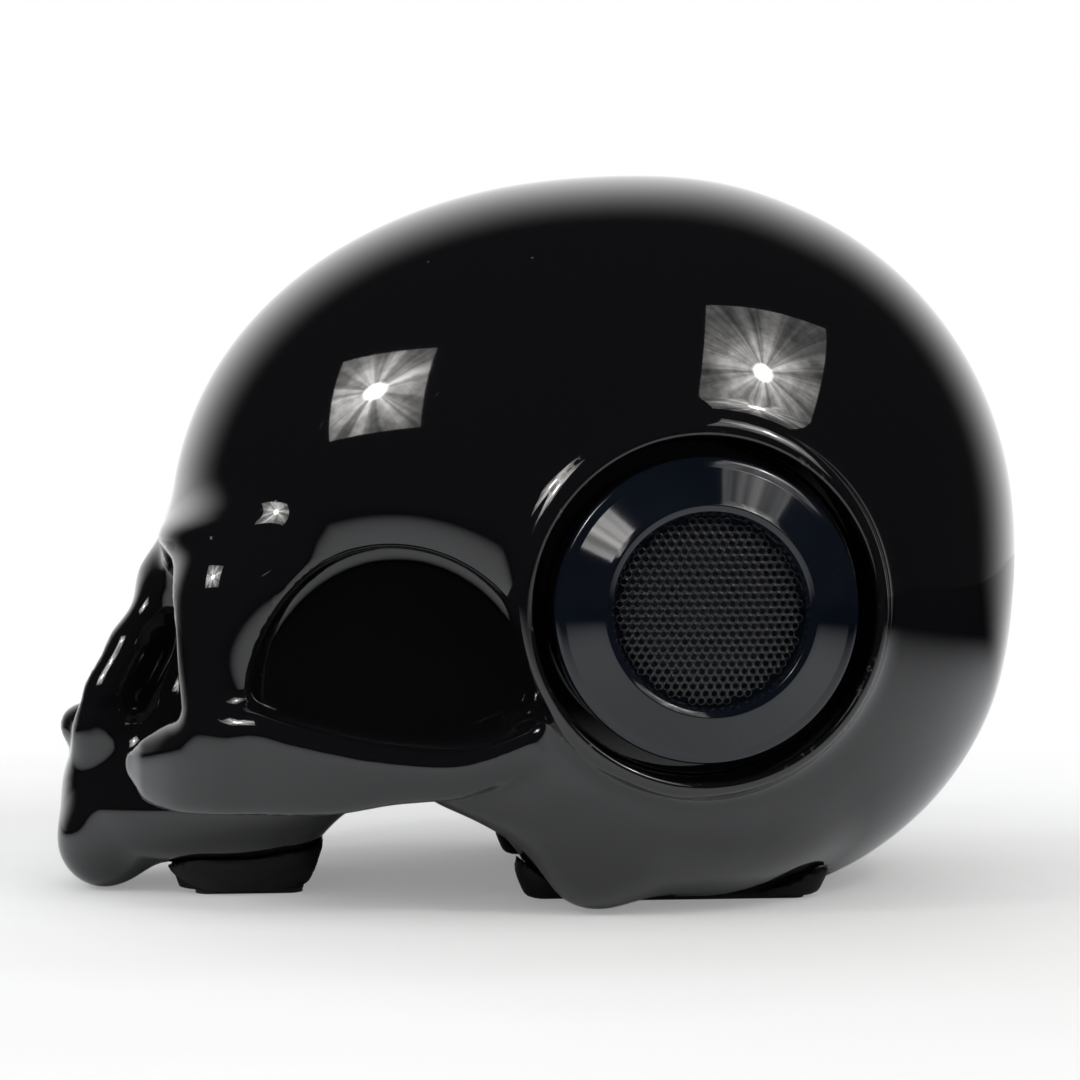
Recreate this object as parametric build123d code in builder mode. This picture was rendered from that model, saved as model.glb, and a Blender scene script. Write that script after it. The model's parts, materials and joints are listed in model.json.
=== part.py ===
from build123d import *

import os
from math import cos, radians, sin, sqrt

# Skull-shaped tabletop loudspeaker: a hollow lacquered skull with no lower jaw, split on its mid plane into
# two halves, standing on a matte chassis. Each temple holds a round speaker module, a woofer fires down
# through the chassis, and a small control panel is let into the back of the head.
#
# Millimetres. +Z is up, -Y is the way the face looks, +X is the skull's own left. The origin is on the
# table, under the middle of the whole object.

os.makedirs("parts", exist_ok=True)

# ---------------------------------------------------------------- driving dimensions
WALL = 3.5                          # skull shell thickness
CLEAR = 0.5                         # gap round a part that is let into the shell

CRANIUM = (0, 30, 98)               # centre of the brain case
CRANIUM_HALF_WIDTH = 94
CRANIUM_HALF_HEIGHT = 107
CRANIUM_FRONT = 139                 # reach forward of its centre
CRANIUM_BACK = 110                  # reach behind its centre

FACE, FACE_RADII = (0, -62, 70), (68, 50, 42)
JAW, JAW_RADII = (0, -88, 25), (42, 52, 27)
JAW_UNDERSIDE = 8
PILLAR, PILLAR_RADII = (54, -80, 72), (13, 18, 34)      # outer rim of each eye socket
BROW, BROW_RADII = (32, -80, 98), (35, 30, 14)
TOOTH, TOOTH_RADII = (10, -125, 13), (12, 12, 10)
NOSE_BONE, NOSE_BONE_RADII = (0, -106, 74), (11, 14, 26)
NOSE_SPINE, NOSE_SPINE_RADII = (0, -129, 46), (9, 8, 8)
MASTOID, MASTOID_RADII = (61, 16, 20), (14, 19, 17.5)
CHEEK_PATH = ((42, -104, 40), (60, -86, 41), (70, -60, 39), (75, -36, 38), (77, -16, 42), (77, 4, 52))
CHEEK_HALF_DEPTH, CHEEK_HALF_HEIGHT = 8, 11.5

SOCKET, SOCKET_RADII = (33, -112, 73), (24, 34, 25)
NOSTRIL, NOSTRIL_RADII = (7, -127, 60), (8, 15, 14)
TEMPLE_PIT, TEMPLE_PIT_RADII = (86, -42, 57), (39, 38, 41)
LEDGE_HEIGHT = 47                   # top of the cheek bar, where the temple pit ends
TUNNEL, TUNNEL_RADII = (-36, -2), (31, 30)              # arch under the skull, as (y, z)

SIDE_Y, SIDE_Z = 36, 82             # axis of the two side modules
WELL_RADIUS, WELL_WALL = 44.5, 3
WELL_FLARE = 14                     # how far the lip's skirt spreads into the head
WELL_LIP = 90                       # lip of the well, from the mid plane
WELL_FLOOR = 69                     # outer face of the well's floor
CUP_RADIUS = 31
SIDE_FLANGE_FACE = 87.5             # front of the side driver's flange, from the mid plane
BEZEL_RADIUS = 39.4
GRILLE_RADIUS = 24.2

DECK_TOP, DECK_THICK = 17, 3
DECK_HALF_WIDTH, DECK_FRONT, DECK_REAR = 50, -8, 84
BRIDGE_TOP = 34
LEG_BOTTOM = 1.5
SHOE_HALF_WIDTH, SHOE_FRONT, SHOE_TOP = 28, -105, 7.5   # the wider foot under the front leg
FRONT_LEG_HALF_WIDTH, FRONT_LEG_FRONT, FRONT_LEG_REAR = 24, -105, -62
RAIL_INNER, RAIL_OUTER, RAIL_LENGTH = 34, 47, 84
RAIL_CENTRES = ((40.5, 34), (-40.5, 34))
WOOFER_Y, WOOFER_GASKET = 36, 1.5

PANEL_Z, PANEL_WIDTH, PANEL_HEIGHT = 70, 60, 32
PANEL_FACE, PANEL_THICK = 127, 3
PANEL_SCREW_GRID = (53, 24)
ROCKER_X, BUTTON_X, AUX_X, DC_X = -17, -4, 8, 20
BUTTON_RISE, BUTTON_RADIUS, BUTTON_TRAVEL = 6, 3.4, 0.8
ROCKER_PIVOT, ROCKER_TILT = 2.5, 8  # depth of the pivot behind the panel's face, and the rest tilt
ROCKER_PIN = 0.9
IO_BOARD_FACE = 112

BASE_SCREWS = ((43, 3), (-43, 3), (38, 77), (-38, 77), (17, -70), (-17, -70))
PIN_ANGLES = (-65, -20, 20, 70)     # dowels round the seam, in degrees back from the crown
PIN_RADIUS, PIN_HALF_LENGTH = 1.5, 8


# ---------------------------------------------------------------- helpers
def save(part, name):
    """Labels a finished piece and writes it as one STEP file."""
    part.label = name
    export_step(part, f"parts/{name}.step")


def ellipsoid(centre, radii, grow=0.0):
    """A solid ellipsoid whose three radii are each larger by grow."""
    with BuildPart() as egg:
        Sphere(1)
        scale(by=tuple(r + grow for r in radii))
    return egg.part.moved(Location(centre))


def pair(make, centre, radii, grow=0.0):
    """The same form on both sides of the mid plane."""
    x, y, z = centre
    return [make((x, y, z), radii, grow), make((-x, y, z), radii, grow)]


def block(low, high):
    """A plain box between two corners."""
    size = [b - a for a, b in zip(low, high)]
    middle = [(a + b) / 2 for a, b in zip(low, high)]
    with BuildPart() as box:
        with Locations(tuple(middle)):
            Box(*size)
    return box.part


def turned(profile_plane, axis, points):
    """A closed outline of (radius, distance along the axis) turned once round the axis."""
    with BuildPart() as lathe:
        with BuildSketch(profile_plane):
            with BuildLine():
                Polyline(*points, close=True)
            make_face()
        revolve(axis=axis)
    return lathe.part


def hexagonal_grid(pitch, radius):
    """Centres of a triangular hole pattern that lie inside a circle."""
    rise = pitch * sqrt(3) / 2
    rows = int(radius / rise) + 1
    spots = []
    for row in range(-rows, rows + 1):
        shift = pitch / 2 if row % 2 else 0.0
        for column in range(-rows - 2, rows + 3):
            spot = (column * pitch + shift, row * rise)
            if spot[0] ** 2 + spot[1] ** 2 < radius**2:
                spots.append(spot)
    return spots


# ---------------------------------------------------------------- the skull shell
def brain_case(grow=0.0):
    """Two half ellipsoids that meet behind the temples."""
    join = Plane.XZ.offset(-CRANIUM[1])
    with BuildPart() as front:
        add(ellipsoid(CRANIUM, (CRANIUM_HALF_WIDTH, CRANIUM_FRONT, CRANIUM_HALF_HEIGHT), grow))
        split(bisect_by=join, keep=Keep.TOP)
    with BuildPart() as rear:
        add(ellipsoid(CRANIUM, (CRANIUM_HALF_WIDTH, CRANIUM_BACK, CRANIUM_HALF_HEIGHT), grow))
        split(bisect_by=join, keep=Keep.BOTTOM)
    with BuildPart() as case:
        add(front.part)
        add(rear.part)
    return case.part


def jaw(grow=0.0):
    """The upper jaw, cut flat underneath."""
    with BuildPart() as form:
        add(ellipsoid(JAW, JAW_RADII, grow))
        add(block((-200, -200, JAW_UNDERSIDE - grow), (200, 200, 300)), mode=Mode.INTERSECT)
    return form.part


def cheek_bar():
    """The bar from the cheekbone back to the ear, swept along the left side."""
    with BuildPart() as bar:
        with BuildLine() as path:
            Spline(*CHEEK_PATH)
        with BuildSketch(Plane(path.line @ 0, x_dir=(0, 0, 1), z_dir=path.line % 0)):
            Ellipse(CHEEK_HALF_HEIGHT, CHEEK_HALF_DEPTH)
        sweep()
    return bar.part


def temple_pit(grow=0.0):
    """The left hollow behind the eye, which ends on the cheek bar's ledge."""
    with BuildPart() as pit:
        add(ellipsoid(TEMPLE_PIT, TEMPLE_PIT_RADII, grow))
        add(block((-200, -200, LEDGE_HEIGHT - grow), (200, 200, 300)), mode=Mode.INTERSECT)
    return pit.part


def tunnel(grow=0.0):
    """The arch that runs under the skull from side to side."""
    y, z = TUNNEL
    with BuildPart() as arch:
        with BuildSketch(Plane.YZ):
            with Locations((y, z)):
                Ellipse(TUNNEL_RADII[0] + grow, TUNNEL_RADII[1] + grow)
        extrude(amount=110, both=True)
    return arch.part


def both_sides(part):
    """A left-hand form and its mirror image."""
    return [part, part.mirror(Plane.YZ)]


def well_bore(side, radius, low, high):
    """A cylinder on a side module's axis, between two distances from the mid plane."""
    plane = Plane(origin=(side * low, SIDE_Y, SIDE_Z), x_dir=(0, 1, 0), z_dir=(side, 0, 0))
    with BuildPart() as bore:
        with BuildSketch(plane):
            Circle(radius)
        extrude(amount=high - low)
    return bore.part


def well_collar(side):
    """The lip round a side module, flared into the head."""
    rim = WELL_RADIUS + WELL_WALL
    outline = [(0, WELL_FLOOR - 3), (rim + WELL_FLARE, WELL_FLOOR - 3)]
    outline += [(rim + WELL_FLARE * 0.35, WELL_LIP - 11), (rim + 0.8, WELL_LIP - 2)]
    outline += [(rim - 1.2, WELL_LIP), (0, WELL_LIP)]
    plane = Plane(origin=(0, SIDE_Y, SIDE_Z), x_dir=(0, 1, 0), z_dir=(0, 0, -side))
    return turned(plane, Axis((0, SIDE_Y, SIDE_Z), (side, 0, 0)), outline)


def outer_form():
    """Everything the lacquer covers, as one solid."""
    with BuildPart() as form:
        add(brain_case())
        add(ellipsoid(FACE, FACE_RADII))
        add(jaw())
        add(pair(ellipsoid, PILLAR, PILLAR_RADII))
        add(pair(ellipsoid, BROW, BROW_RADII))
        add(pair(ellipsoid, TOOTH, TOOTH_RADII))
        add(pair(ellipsoid, MASTOID, MASTOID_RADII))
        add(ellipsoid(NOSE_BONE, NOSE_BONE_RADII))
        add(ellipsoid(NOSE_SPINE, NOSE_SPINE_RADII))
        add(both_sides(cheek_bar()))
        add([well_collar(side) for side in (1, -1)])
        add(pair(ellipsoid, SOCKET, SOCKET_RADII), mode=Mode.SUBTRACT)
        add(pair(ellipsoid, NOSTRIL, NOSTRIL_RADII), mode=Mode.SUBTRACT)
        add(both_sides(temple_pit()), mode=Mode.SUBTRACT)
        add(tunnel(), mode=Mode.SUBTRACT)
    return form.part


def base_opening():
    """What is cut out of the underside so that the chassis goes in from below."""
    width = 2 * (DECK_HALF_WIDTH + CLEAR)
    leg = FRONT_LEG_HALF_WIDTH + CLEAR
    with BuildPart() as hole:
        with BuildSketch(Plane.XY.offset(-20)):
            with Locations((0, (DECK_FRONT + DECK_REAR) / 2)):
                RectangleRounded(width, DECK_REAR - DECK_FRONT + 2 * CLEAR, 22)
        extrude(amount=DECK_TOP + 20.1)
        with BuildSketch(Plane.XY.offset(-20)):
            with Locations(*RAIL_CENTRES):
                RectangleRounded(RAIL_OUTER - RAIL_INNER + 2 * CLEAR, RAIL_LENGTH + 2 * CLEAR, 6 + CLEAR)
        extrude(amount=DECK_TOP + 20.1)
        with BuildSketch():
            with Locations((0, (FRONT_LEG_FRONT + FRONT_LEG_REAR) / 2)):
                Rectangle(2 * leg, FRONT_LEG_REAR - FRONT_LEG_FRONT + 2 * CLEAR)
        extrude(amount=BRIDGE_TOP + 1)
        add(block((-43.5, FRONT_LEG_REAR - 3.5, BRIDGE_TOP - 8.5), (43.5, DECK_FRONT + 5.5, BRIDGE_TOP + 1)))
        add(block((-43.5, DECK_FRONT - 4, 4), (43.5, DECK_FRONT + 5.5, BRIDGE_TOP + 1)))
    return hole.part


def panel_plane(distance):
    """A plane across the panel's axis, facing backward out of the head."""
    return Plane(origin=(0, distance, PANEL_Z), x_dir=(1, 0, 0), z_dir=(0, 1, 0))


def panel_collar(inset, near, far):
    """A rounded rectangular prism on the control panel's axis."""
    with BuildPart() as prism:
        with BuildSketch(panel_plane(near)):
            RectangleRounded(PANEL_WIDTH + 2 * inset, PANEL_HEIGHT + 2 * inset, 4 + max(inset, -3))
        extrude(amount=far - near)
    return prism.part


def boss_foot(y):
    """Height of the chassis face that a screw post stands on."""
    return BRIDGE_TOP if y < DECK_FRONT else DECK_TOP


def seam_spots():
    """Where the dowels cross the mid plane, as (y, z) just inside the shell."""
    spots = []
    for angle in PIN_ANGLES:
        reach = CRANIUM_BACK if angle > 0 else CRANIUM_FRONT
        y = CRANIUM[1] + (reach - 6.5) * sin(radians(angle))
        z = CRANIUM[2] + (CRANIUM_HALF_HEIGHT - 6.5) * cos(radians(angle))
        spots.append((y, z))
    return spots


def seam_cylinders(radius, half_length):
    """Short cylinders across the mid plane, one at each dowel."""
    with BuildPart() as rods:
        with BuildSketch(Plane.YZ):
            with Locations(*seam_spots()):
                Circle(radius)
        extrude(amount=half_length, both=True)
    return rods.part


def cavity():
    """The space inside, which keeps a wall round every hollow of the face and leaves the posts standing."""
    with BuildPart() as space:
        add(brain_case(-WALL))
        add(ellipsoid(FACE, FACE_RADII, -WALL))
        add(jaw(-WALL))
        add(pair(ellipsoid, SOCKET, SOCKET_RADII, WALL), mode=Mode.SUBTRACT)
        add(pair(ellipsoid, NOSTRIL, NOSTRIL_RADII, WALL), mode=Mode.SUBTRACT)
        add(both_sides(temple_pit(WALL)), mode=Mode.SUBTRACT)
        add(tunnel(WALL), mode=Mode.SUBTRACT)
        for side in (1, -1):
            add(well_bore(side, WELL_RADIUS + WELL_WALL, WELL_FLOOR - 3, 120), mode=Mode.SUBTRACT)
        for x, y in BASE_SCREWS:
            side = 1 if x > 0 else -1
            with BuildSketch(Plane.XY.offset(boss_foot(y) + 0.1)):
                with Locations((x, y)):
                    Circle(4.5)
                with Locations((x + side * 17, y)):
                    Rectangle(34, 3)
            extrude(amount=16, mode=Mode.SUBTRACT)
        add(seam_cylinders(PIN_RADIUS + 3.5, PIN_HALF_LENGTH + 2), mode=Mode.SUBTRACT)
        add(panel_collar(3.5, IO_BOARD_FACE - 6, 150), mode=Mode.SUBTRACT)
    return space.part


def skull_shell():
    """The whole lacquered shell, before it is parted on the mid plane."""
    with BuildPart() as shell:
        add(outer_form())
        add(cavity(), mode=Mode.SUBTRACT)
        add(panel_collar(-3, 90, PANEL_FACE), mode=Mode.SUBTRACT)
        add(panel_collar(0.2, PANEL_FACE - PANEL_THICK, 150), mode=Mode.SUBTRACT)
        add(seam_cylinders(PIN_RADIUS + 0.05, PIN_HALF_LENGTH + 0.2), mode=Mode.SUBTRACT)
        add(base_opening(), mode=Mode.SUBTRACT)
        for x, y in BASE_SCREWS:
            with BuildSketch(Plane.XY.offset(boss_foot(y) - 1)):
                with Locations((x, y)):
                    Circle(1.6)
            extrude(amount=12, mode=Mode.SUBTRACT)
        with BuildSketch(panel_plane(PANEL_FACE - PANEL_THICK)):
            with GridLocations(*PANEL_SCREW_GRID, 2, 2):
                Circle(1.3)
        extrude(amount=-9, mode=Mode.SUBTRACT)
        for side in (1, -1):
            add(well_bore(side, WELL_RADIUS, WELL_FLOOR, 120), mode=Mode.SUBTRACT)
            add(well_bore(side, CUP_RADIUS + CLEAR, WELL_FLOOR - 10, 120), mode=Mode.SUBTRACT)
            plane = Plane(origin=(side * WELL_FLOOR, SIDE_Y, SIDE_Z), x_dir=(0, 1, 0), z_dir=(side, 0, 0))
            with BuildSketch(plane):
                with PolarLocations(34.6, 4, start_angle=45):
                    Circle(1.1)
            extrude(amount=-3, mode=Mode.SUBTRACT)
    return shell.part


def half(part, side):
    """The part of a shell that lies on one side of the mid plane."""
    with BuildPart() as kept:
        add(part)
        split(bisect_by=Plane.YZ, keep=Keep.TOP if side > 0 else Keep.BOTTOM)
    return kept.part


# ---------------------------------------------------------------- loudspeaker drivers
class Driver:
    """One moving-coil driver. Its outlines are (radius, distance in front of the flange's face)."""

    def __init__(
        self, plane, axis, flange, roll_out, cone, coil, magnet, basket, cone_depth, plate, ferrite, back
    ):
        self.plane, self.axis = plane, axis
        self.flange, self.roll_out, self.cone, self.coil, self.magnet = flange, roll_out, cone, coil, magnet
        self.basket, self.cone_depth = basket, cone_depth
        self.plate, self.ferrite, self.back = plate, ferrite, back

    def turn(self, points):
        return turned(self.plane, self.axis, points)

    def make_basket(self):
        """Pressed frame with four windows."""
        w, depth = 1.4, self.basket
        foot, tip = self.coil + 5, self.roll_out
        outline = [(tip, 0), (self.flange, 0), (self.flange, -1.5), (tip + w, -1.5), (self.magnet, -depth)]
        outline += [(foot, -depth), (foot, -depth + w), (self.magnet - w, -depth + w), (tip, -1.5)]
        middle = self.plane.origin + self.plane.y_dir * (-depth / 2)
        window_plane = Plane(origin=middle, x_dir=self.plane.x_dir, z_dir=self.plane.y_dir)
        with BuildPart() as frame:
            add(self.turn(outline))
            with BuildSketch(window_plane):
                with PolarLocations(self.roll_out, 4, start_angle=45):
                    Rectangle(self.roll_out, self.roll_out * 0.7)
            extrude(amount=depth * 0.22, both=True, mode=Mode.SUBTRACT)
        return frame.part

    def make_surround(self):
        """Rubber half roll between the cone and the flange."""
        inner, outer, skin = self.cone, self.roll_out, 0.5
        middle, rise = (inner + outer) / 2, (outer - inner) / 2
        with BuildPart() as roll:
            with BuildSketch(self.plane):
                with BuildLine():
                    a = Line((inner - 1.5, skin), (inner - 1.5, 0))
                    b = Line(a @ 1, (inner + skin, 0))
                    c = ThreePointArc(b @ 1, (middle, rise - skin), (outer - skin, 0))
                    d = Polyline(c @ 1, (outer + 1.5, 0), (outer + 1.5, skin), (outer, skin))
                    e = ThreePointArc(d @ 1, (middle, rise + skin), (inner, skin))
                    Line(e @ 1, a @ 0)
                make_face()
            revolve(axis=self.axis)
        return roll.part

    def make_cone(self):
        """Paper cone, from the roll down to the voice coil."""
        skin, neck = 0.6, self.coil + 0.35
        outline = [(self.cone, -0.05), (self.cone, -skin), (neck, -self.cone_depth - skin)]
        outline += [(neck, -self.cone_depth), (self.cone - 1.6, -0.05)]
        return self.turn(outline)

    def make_dust_cap(self):
        """Domed cap over the coil."""
        foot, steps, skin = self.coil + 1.6, 8, 0.5
        seat = -self.cone_depth * (self.cone - 1.6 - foot) / (self.cone - 1.6 - self.coil - 0.35) + 0.3
        radii = [foot * (1 - i / steps) for i in range(steps + 1)]
        top = [(r, seat + skin + 3 * (1 - (r / foot) ** 2)) for r in radii]
        return self.turn(top + [(r, a - skin) for r, a in reversed(top)])

    def make_voice_coil(self):
        """Former tube with its winding, hanging in the magnet gap."""
        inner, tube, wound = self.coil - 0.15, self.coil + 0.3, self.coil + 0.85
        top, start = -self.cone_depth + 0.2, -(self.basket - 1.0)
        end = -(self.basket + self.plate + 1.5)
        outline = [(inner, top), (tube, top), (tube, start), (wound, start), (wound, end), (inner, end)]
        return self.turn(outline)

    def make_spider(self):
        """Corrugated cloth disc that centres the coil."""
        level, skin, waves = -(self.basket - 4.0), 0.4, 8
        wall = (level - skin + 1.5) / (self.basket - 2.9)
        inner, outer = self.coil + 0.35, self.roll_out + (self.roll_out - self.magnet + 1.4) * wall - 0.02
        steps = [inner + (outer - inner) * i / waves for i in range(waves + 1)]
        top = [(r, level + (0.9 if i % 2 else 0.0)) for i, r in enumerate(steps)]
        return self.turn(top + [(r, a - skin) for r, a in reversed(top)])

    def make_top_plate(self):
        top, under = -self.basket, -self.basket - self.plate
        gap = self.coil + 1.35
        return self.turn([(gap, under), (self.magnet, under), (self.magnet, top), (gap, top)])

    def make_magnet(self):
        near, far = self.basket + self.plate, self.basket + self.plate + self.ferrite
        inner, outer = self.coil + 4, self.magnet + 1.5
        return self.turn([(inner, -far), (outer, -far), (outer, -near), (inner, -near)])

    def make_yoke(self):
        """Back plate and pole piece in one."""
        near = self.basket + self.plate + self.ferrite
        far, pole = near + self.back, self.coil - 0.7
        outline = [(0, -far), (self.magnet, -far), (self.magnet, -near), (pole, -near), (pole, -self.basket)]
        return self.turn(outline + [(0, -self.basket)])

    def make_gasket(self, thick=1.0):
        inner, outer = self.roll_out + 1.7, self.flange
        return self.turn([(inner, 0), (outer, 0), (outer, thick), (inner, thick)])

    def save_all(self, prefix):
        save(self.make_basket(), f"{prefix}_basket")
        save(self.make_surround(), f"{prefix}_surround")
        save(self.make_cone(), f"{prefix}_cone")
        save(self.make_dust_cap(), f"{prefix}_dust_cap")
        save(self.make_voice_coil(), f"{prefix}_voice_coil")
        save(self.make_spider(), f"{prefix}_spider")
        save(self.make_top_plate(), f"{prefix}_top_plate")
        save(self.make_magnet(), f"{prefix}_magnet")
        save(self.make_yoke(), f"{prefix}_yoke")


def side_plane(side, distance=0.0):
    """Profile plane of a side module: x is the radius, y runs outward from the mid plane."""
    return Plane(origin=(side * distance, SIDE_Y, SIDE_Z), x_dir=(0, 1, 0), z_dir=(0, 0, -side))


def side_axis(side):
    return Axis((0, SIDE_Y, SIDE_Z), (side, 0, 0))


def side_driver(side):
    return Driver(
        side_plane(side, SIDE_FLANGE_FACE), side_axis(side),
        flange=30, roll_out=23.5, cone=19.5, coil=8, magnet=17,
        basket=13, cone_depth=8, plate=3, ferrite=8, back=3,
    )


def woofer():
    down = Plane(origin=(0, WOOFER_Y, DECK_TOP + WOOFER_GASKET), x_dir=(0, 1, 0), z_dir=(-1, 0, 0))
    return Driver(
        down, Axis((0, WOOFER_Y, 0), (0, 0, 1)),
        flange=38, roll_out=31.5, cone=26, coil=11, magnet=25,
        basket=18, cone_depth=11, plate=4, ferrite=12, back=4,
    )


# ---------------------------------------------------------------- side modules
def module_cup(side):
    """Sealed can behind a side driver, with the flange that screws to the well's floor."""
    back, rim, inner = 56.5, SIDE_FLANGE_FACE - 1.5, 26
    flange, low, high = 38, WELL_FLOOR + 0.1, WELL_FLOOR + 2.6
    outline = [(0, back), (CUP_RADIUS, back), (CUP_RADIUS, low), (flange, low), (flange, high)]
    outline += [(CUP_RADIUS, high), (CUP_RADIUS, rim), (inner, rim), (inner, back + 2), (0, back + 2)]
    plane = Plane(origin=(side * low, SIDE_Y, SIDE_Z), x_dir=(0, 1, 0), z_dir=(side, 0, 0))
    with BuildPart() as cup:
        add(turned(side_plane(side), side_axis(side), outline))
        with BuildSketch(plane):
            with PolarLocations(34.6, 4, start_angle=45):
                Circle(1.4)
        extrude(amount=5, mode=Mode.SUBTRACT)
    return cup.part


def module_screws(side):
    """Four pan-head screws through the cup's flange."""
    face = WELL_FLOOR + 2.7
    plane = Plane(origin=(side * face, SIDE_Y, SIDE_Z), x_dir=(0, 1, 0), z_dir=(side, 0, 0))
    with BuildPart() as screws:
        with BuildSketch(plane):
            with PolarLocations(34.6, 4, start_angle=45):
                Circle(2.2)
        extrude(amount=1.6)
        with BuildSketch(plane):
            with PolarLocations(34.6, 4, start_angle=45):
                Circle(1.0)
        extrude(amount=-5)
    return screws.part


def bezel(side):
    """Glossy truncated cone that stands proud of the temple and carries the grille."""
    skirt, tip = WELL_FLOOR + 2.7, 99.4
    with BuildPart() as ring:
        with BuildSketch(side_plane(side)):
            with BuildLine():
                a = Line((37.0, skirt), (BEZEL_RADIUS, skirt))
                b = Line(a @ 1, (BEZEL_RADIUS, 85.8))
                c = ThreePointArc(b @ 1, (38.9, 87.2), (37.6, 87.9))
                d = Polyline(c @ 1, (36.9, 88.1), (28.6, 98.6))
                e = ThreePointArc(d @ 1, (27.4, tip), (26.0, 98.8))
                f = Polyline(e @ 1, (24.5, 96.8), (24.5, 94.2), (22.8, 94.2), (22.8, 92.8), (26.0, 92.8))
                g = Polyline(f @ 1, (26.0, 88.6), (28.0, 88.6), (28.0, 95.6), (35.4, 86.6), (37.0, 85.0))
                Line(g @ 1, a @ 0)
            make_face()
        revolve(axis=side_axis(side))
    return ring.part


def grille(side):
    """Domed disc with a triangular pattern of round holes right through it."""
    rim, rise, thick, pitch, hole = 94.3, 2.6, 0.8, 2.2, 0.76
    ball = (GRILLE_RADIUS**2 + rise**2) / (2 * rise)
    centre = (side * (rim + thick + rise - ball), SIDE_Y, SIDE_Z)
    plane = Plane(origin=(side * (rim - 1), SIDE_Y, SIDE_Z), x_dir=(0, 1, 0), z_dir=(side, 0, 0))
    with BuildPart() as dome:
        with Locations(centre):
            Sphere(ball)
            Sphere(ball - thick, mode=Mode.SUBTRACT)
    with BuildPart() as disc:
        with BuildSketch(plane):
            Circle(GRILLE_RADIUS)
            with Locations(*hexagonal_grid(pitch, GRILLE_RADIUS - 1.1)):
                Circle(hole, mode=Mode.SUBTRACT)
        extrude(amount=rise + 3)
        add(dome.part, mode=Mode.INTERSECT)
    return disc.part


# ---------------------------------------------------------------- chassis and feet
def chassis():
    """Matte underbody: the woofer's deck, an arched bridge over the tunnel, a front leg and two rails."""
    y, z = TUNNEL
    with BuildPart() as base:
        with BuildSketch(Plane.XY.offset(DECK_TOP - DECK_THICK)):
            with Locations((0, (DECK_FRONT + DECK_REAR) / 2)):
                RectangleRounded(2 * DECK_HALF_WIDTH, DECK_REAR - DECK_FRONT, 21.5)
        extrude(amount=DECK_THICK)
        add(block((-43, FRONT_LEG_REAR - 3, BRIDGE_TOP - 8), (43, DECK_FRONT + 5, BRIDGE_TOP)))
        add(block((-43, DECK_FRONT, DECK_TOP - DECK_THICK), (43, DECK_FRONT + 5, BRIDGE_TOP)))
        with BuildSketch(Plane.XY.offset(BRIDGE_TOP)):
            with Locations((0, (FRONT_LEG_FRONT + FRONT_LEG_REAR) / 2)):
                RectangleRounded(2 * FRONT_LEG_HALF_WIDTH, FRONT_LEG_REAR - FRONT_LEG_FRONT, 9)
        extrude(amount=LEG_BOTTOM - BRIDGE_TOP, taper=5)
        with BuildSketch(Plane.XY.offset(SHOE_TOP)):
            with Locations((0, (SHOE_FRONT + FRONT_LEG_REAR) / 2)):
                RectangleRounded(2 * SHOE_HALF_WIDTH, FRONT_LEG_REAR - SHOE_FRONT, 12)
        extrude(amount=LEG_BOTTOM - SHOE_TOP, taper=20)
        with BuildSketch(Plane.XY.offset(DECK_TOP)):
            with Locations(*RAIL_CENTRES):
                RectangleRounded(RAIL_OUTER - RAIL_INNER, RAIL_LENGTH, 6)
        extrude(amount=LEG_BOTTOM - DECK_TOP, taper=6)
        with BuildSketch(Plane.YZ):
            with Locations((y, z)):
                Ellipse(TUNNEL_RADII[0] + 1, TUNNEL_RADII[1] + 0.6)
        extrude(amount=60, both=True, mode=Mode.SUBTRACT)
        with BuildSketch(Plane.XY.offset(-1)):
            with Locations((0, WOOFER_Y)):
                Circle(32.2)
        extrude(amount=DECK_TOP + 4, mode=Mode.SUBTRACT)
        with BuildSketch(Plane.XY.offset(-1)):
            with Locations(*BASE_SCREWS):
                Circle(1.8)
        extrude(amount=60, mode=Mode.SUBTRACT)
        with BuildSketch(Plane.XY.offset(-1)):
            with Locations(*BASE_SCREWS):
                Circle(3.4)
        extrude(amount=DECK_TOP - DECK_THICK + 1, mode=Mode.SUBTRACT)
        with BuildSketch(Plane.XY.offset(-1)):
            with Locations(*BASE_SCREWS[4:]):
                Circle(3.4)
        extrude(amount=BRIDGE_TOP - 6, mode=Mode.SUBTRACT)
    return base.part


def base_screws():
    """Six pan-head screws that hold the chassis to the skull."""
    with BuildPart() as screws:
        for x, y in BASE_SCREWS:
            seat = BRIDGE_TOP - 7 if y < DECK_FRONT else DECK_TOP - DECK_THICK
            with BuildSketch(Plane.XY.offset(seat - 0.05)):
                with Locations((x, y)):
                    Circle(2.9)
            extrude(amount=-1.9)
            with BuildSketch(Plane.XY.offset(seat - 0.05)):
                with Locations((x, y)):
                    Circle(1.5)
            extrude(amount=13)
    return screws.part


def foot_pads():
    """Four thin rubber pads under the legs."""
    with BuildPart() as pads:
        with BuildSketch():
            with Locations((15, -83), (-15, -83)):
                RectangleRounded(18, 30, 4)
            with Locations((40.5, 38), (-40.5, 38)):
                RectangleRounded(8, 66, 3.5)
        extrude(amount=LEG_BOTTOM)
    return pads.part


def woofer_grille():
    """Flat perforated disc under the woofer."""
    top = DECK_TOP - DECK_THICK - 0.05
    with BuildPart() as disc:
        with BuildSketch(Plane.XY.offset(top)):
            with Locations((0, WOOFER_Y)):
                Circle(33.6)
                with Locations(*hexagonal_grid(4.4, 31)):
                    Circle(1.6, mode=Mode.SUBTRACT)
        extrude(amount=-1.2)
    return disc.part


def woofer_screws():
    """Four screws that hold the woofer's flange down on the deck."""
    with BuildPart() as screws:
        with BuildSketch(Plane.XY.offset(DECK_TOP + WOOFER_GASKET + 1.55)):
            with Locations((0, WOOFER_Y)):
                with PolarLocations(35.3, 4, start_angle=45):
                    Circle(2)
        extrude(amount=1.5)
    return screws.part


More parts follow.
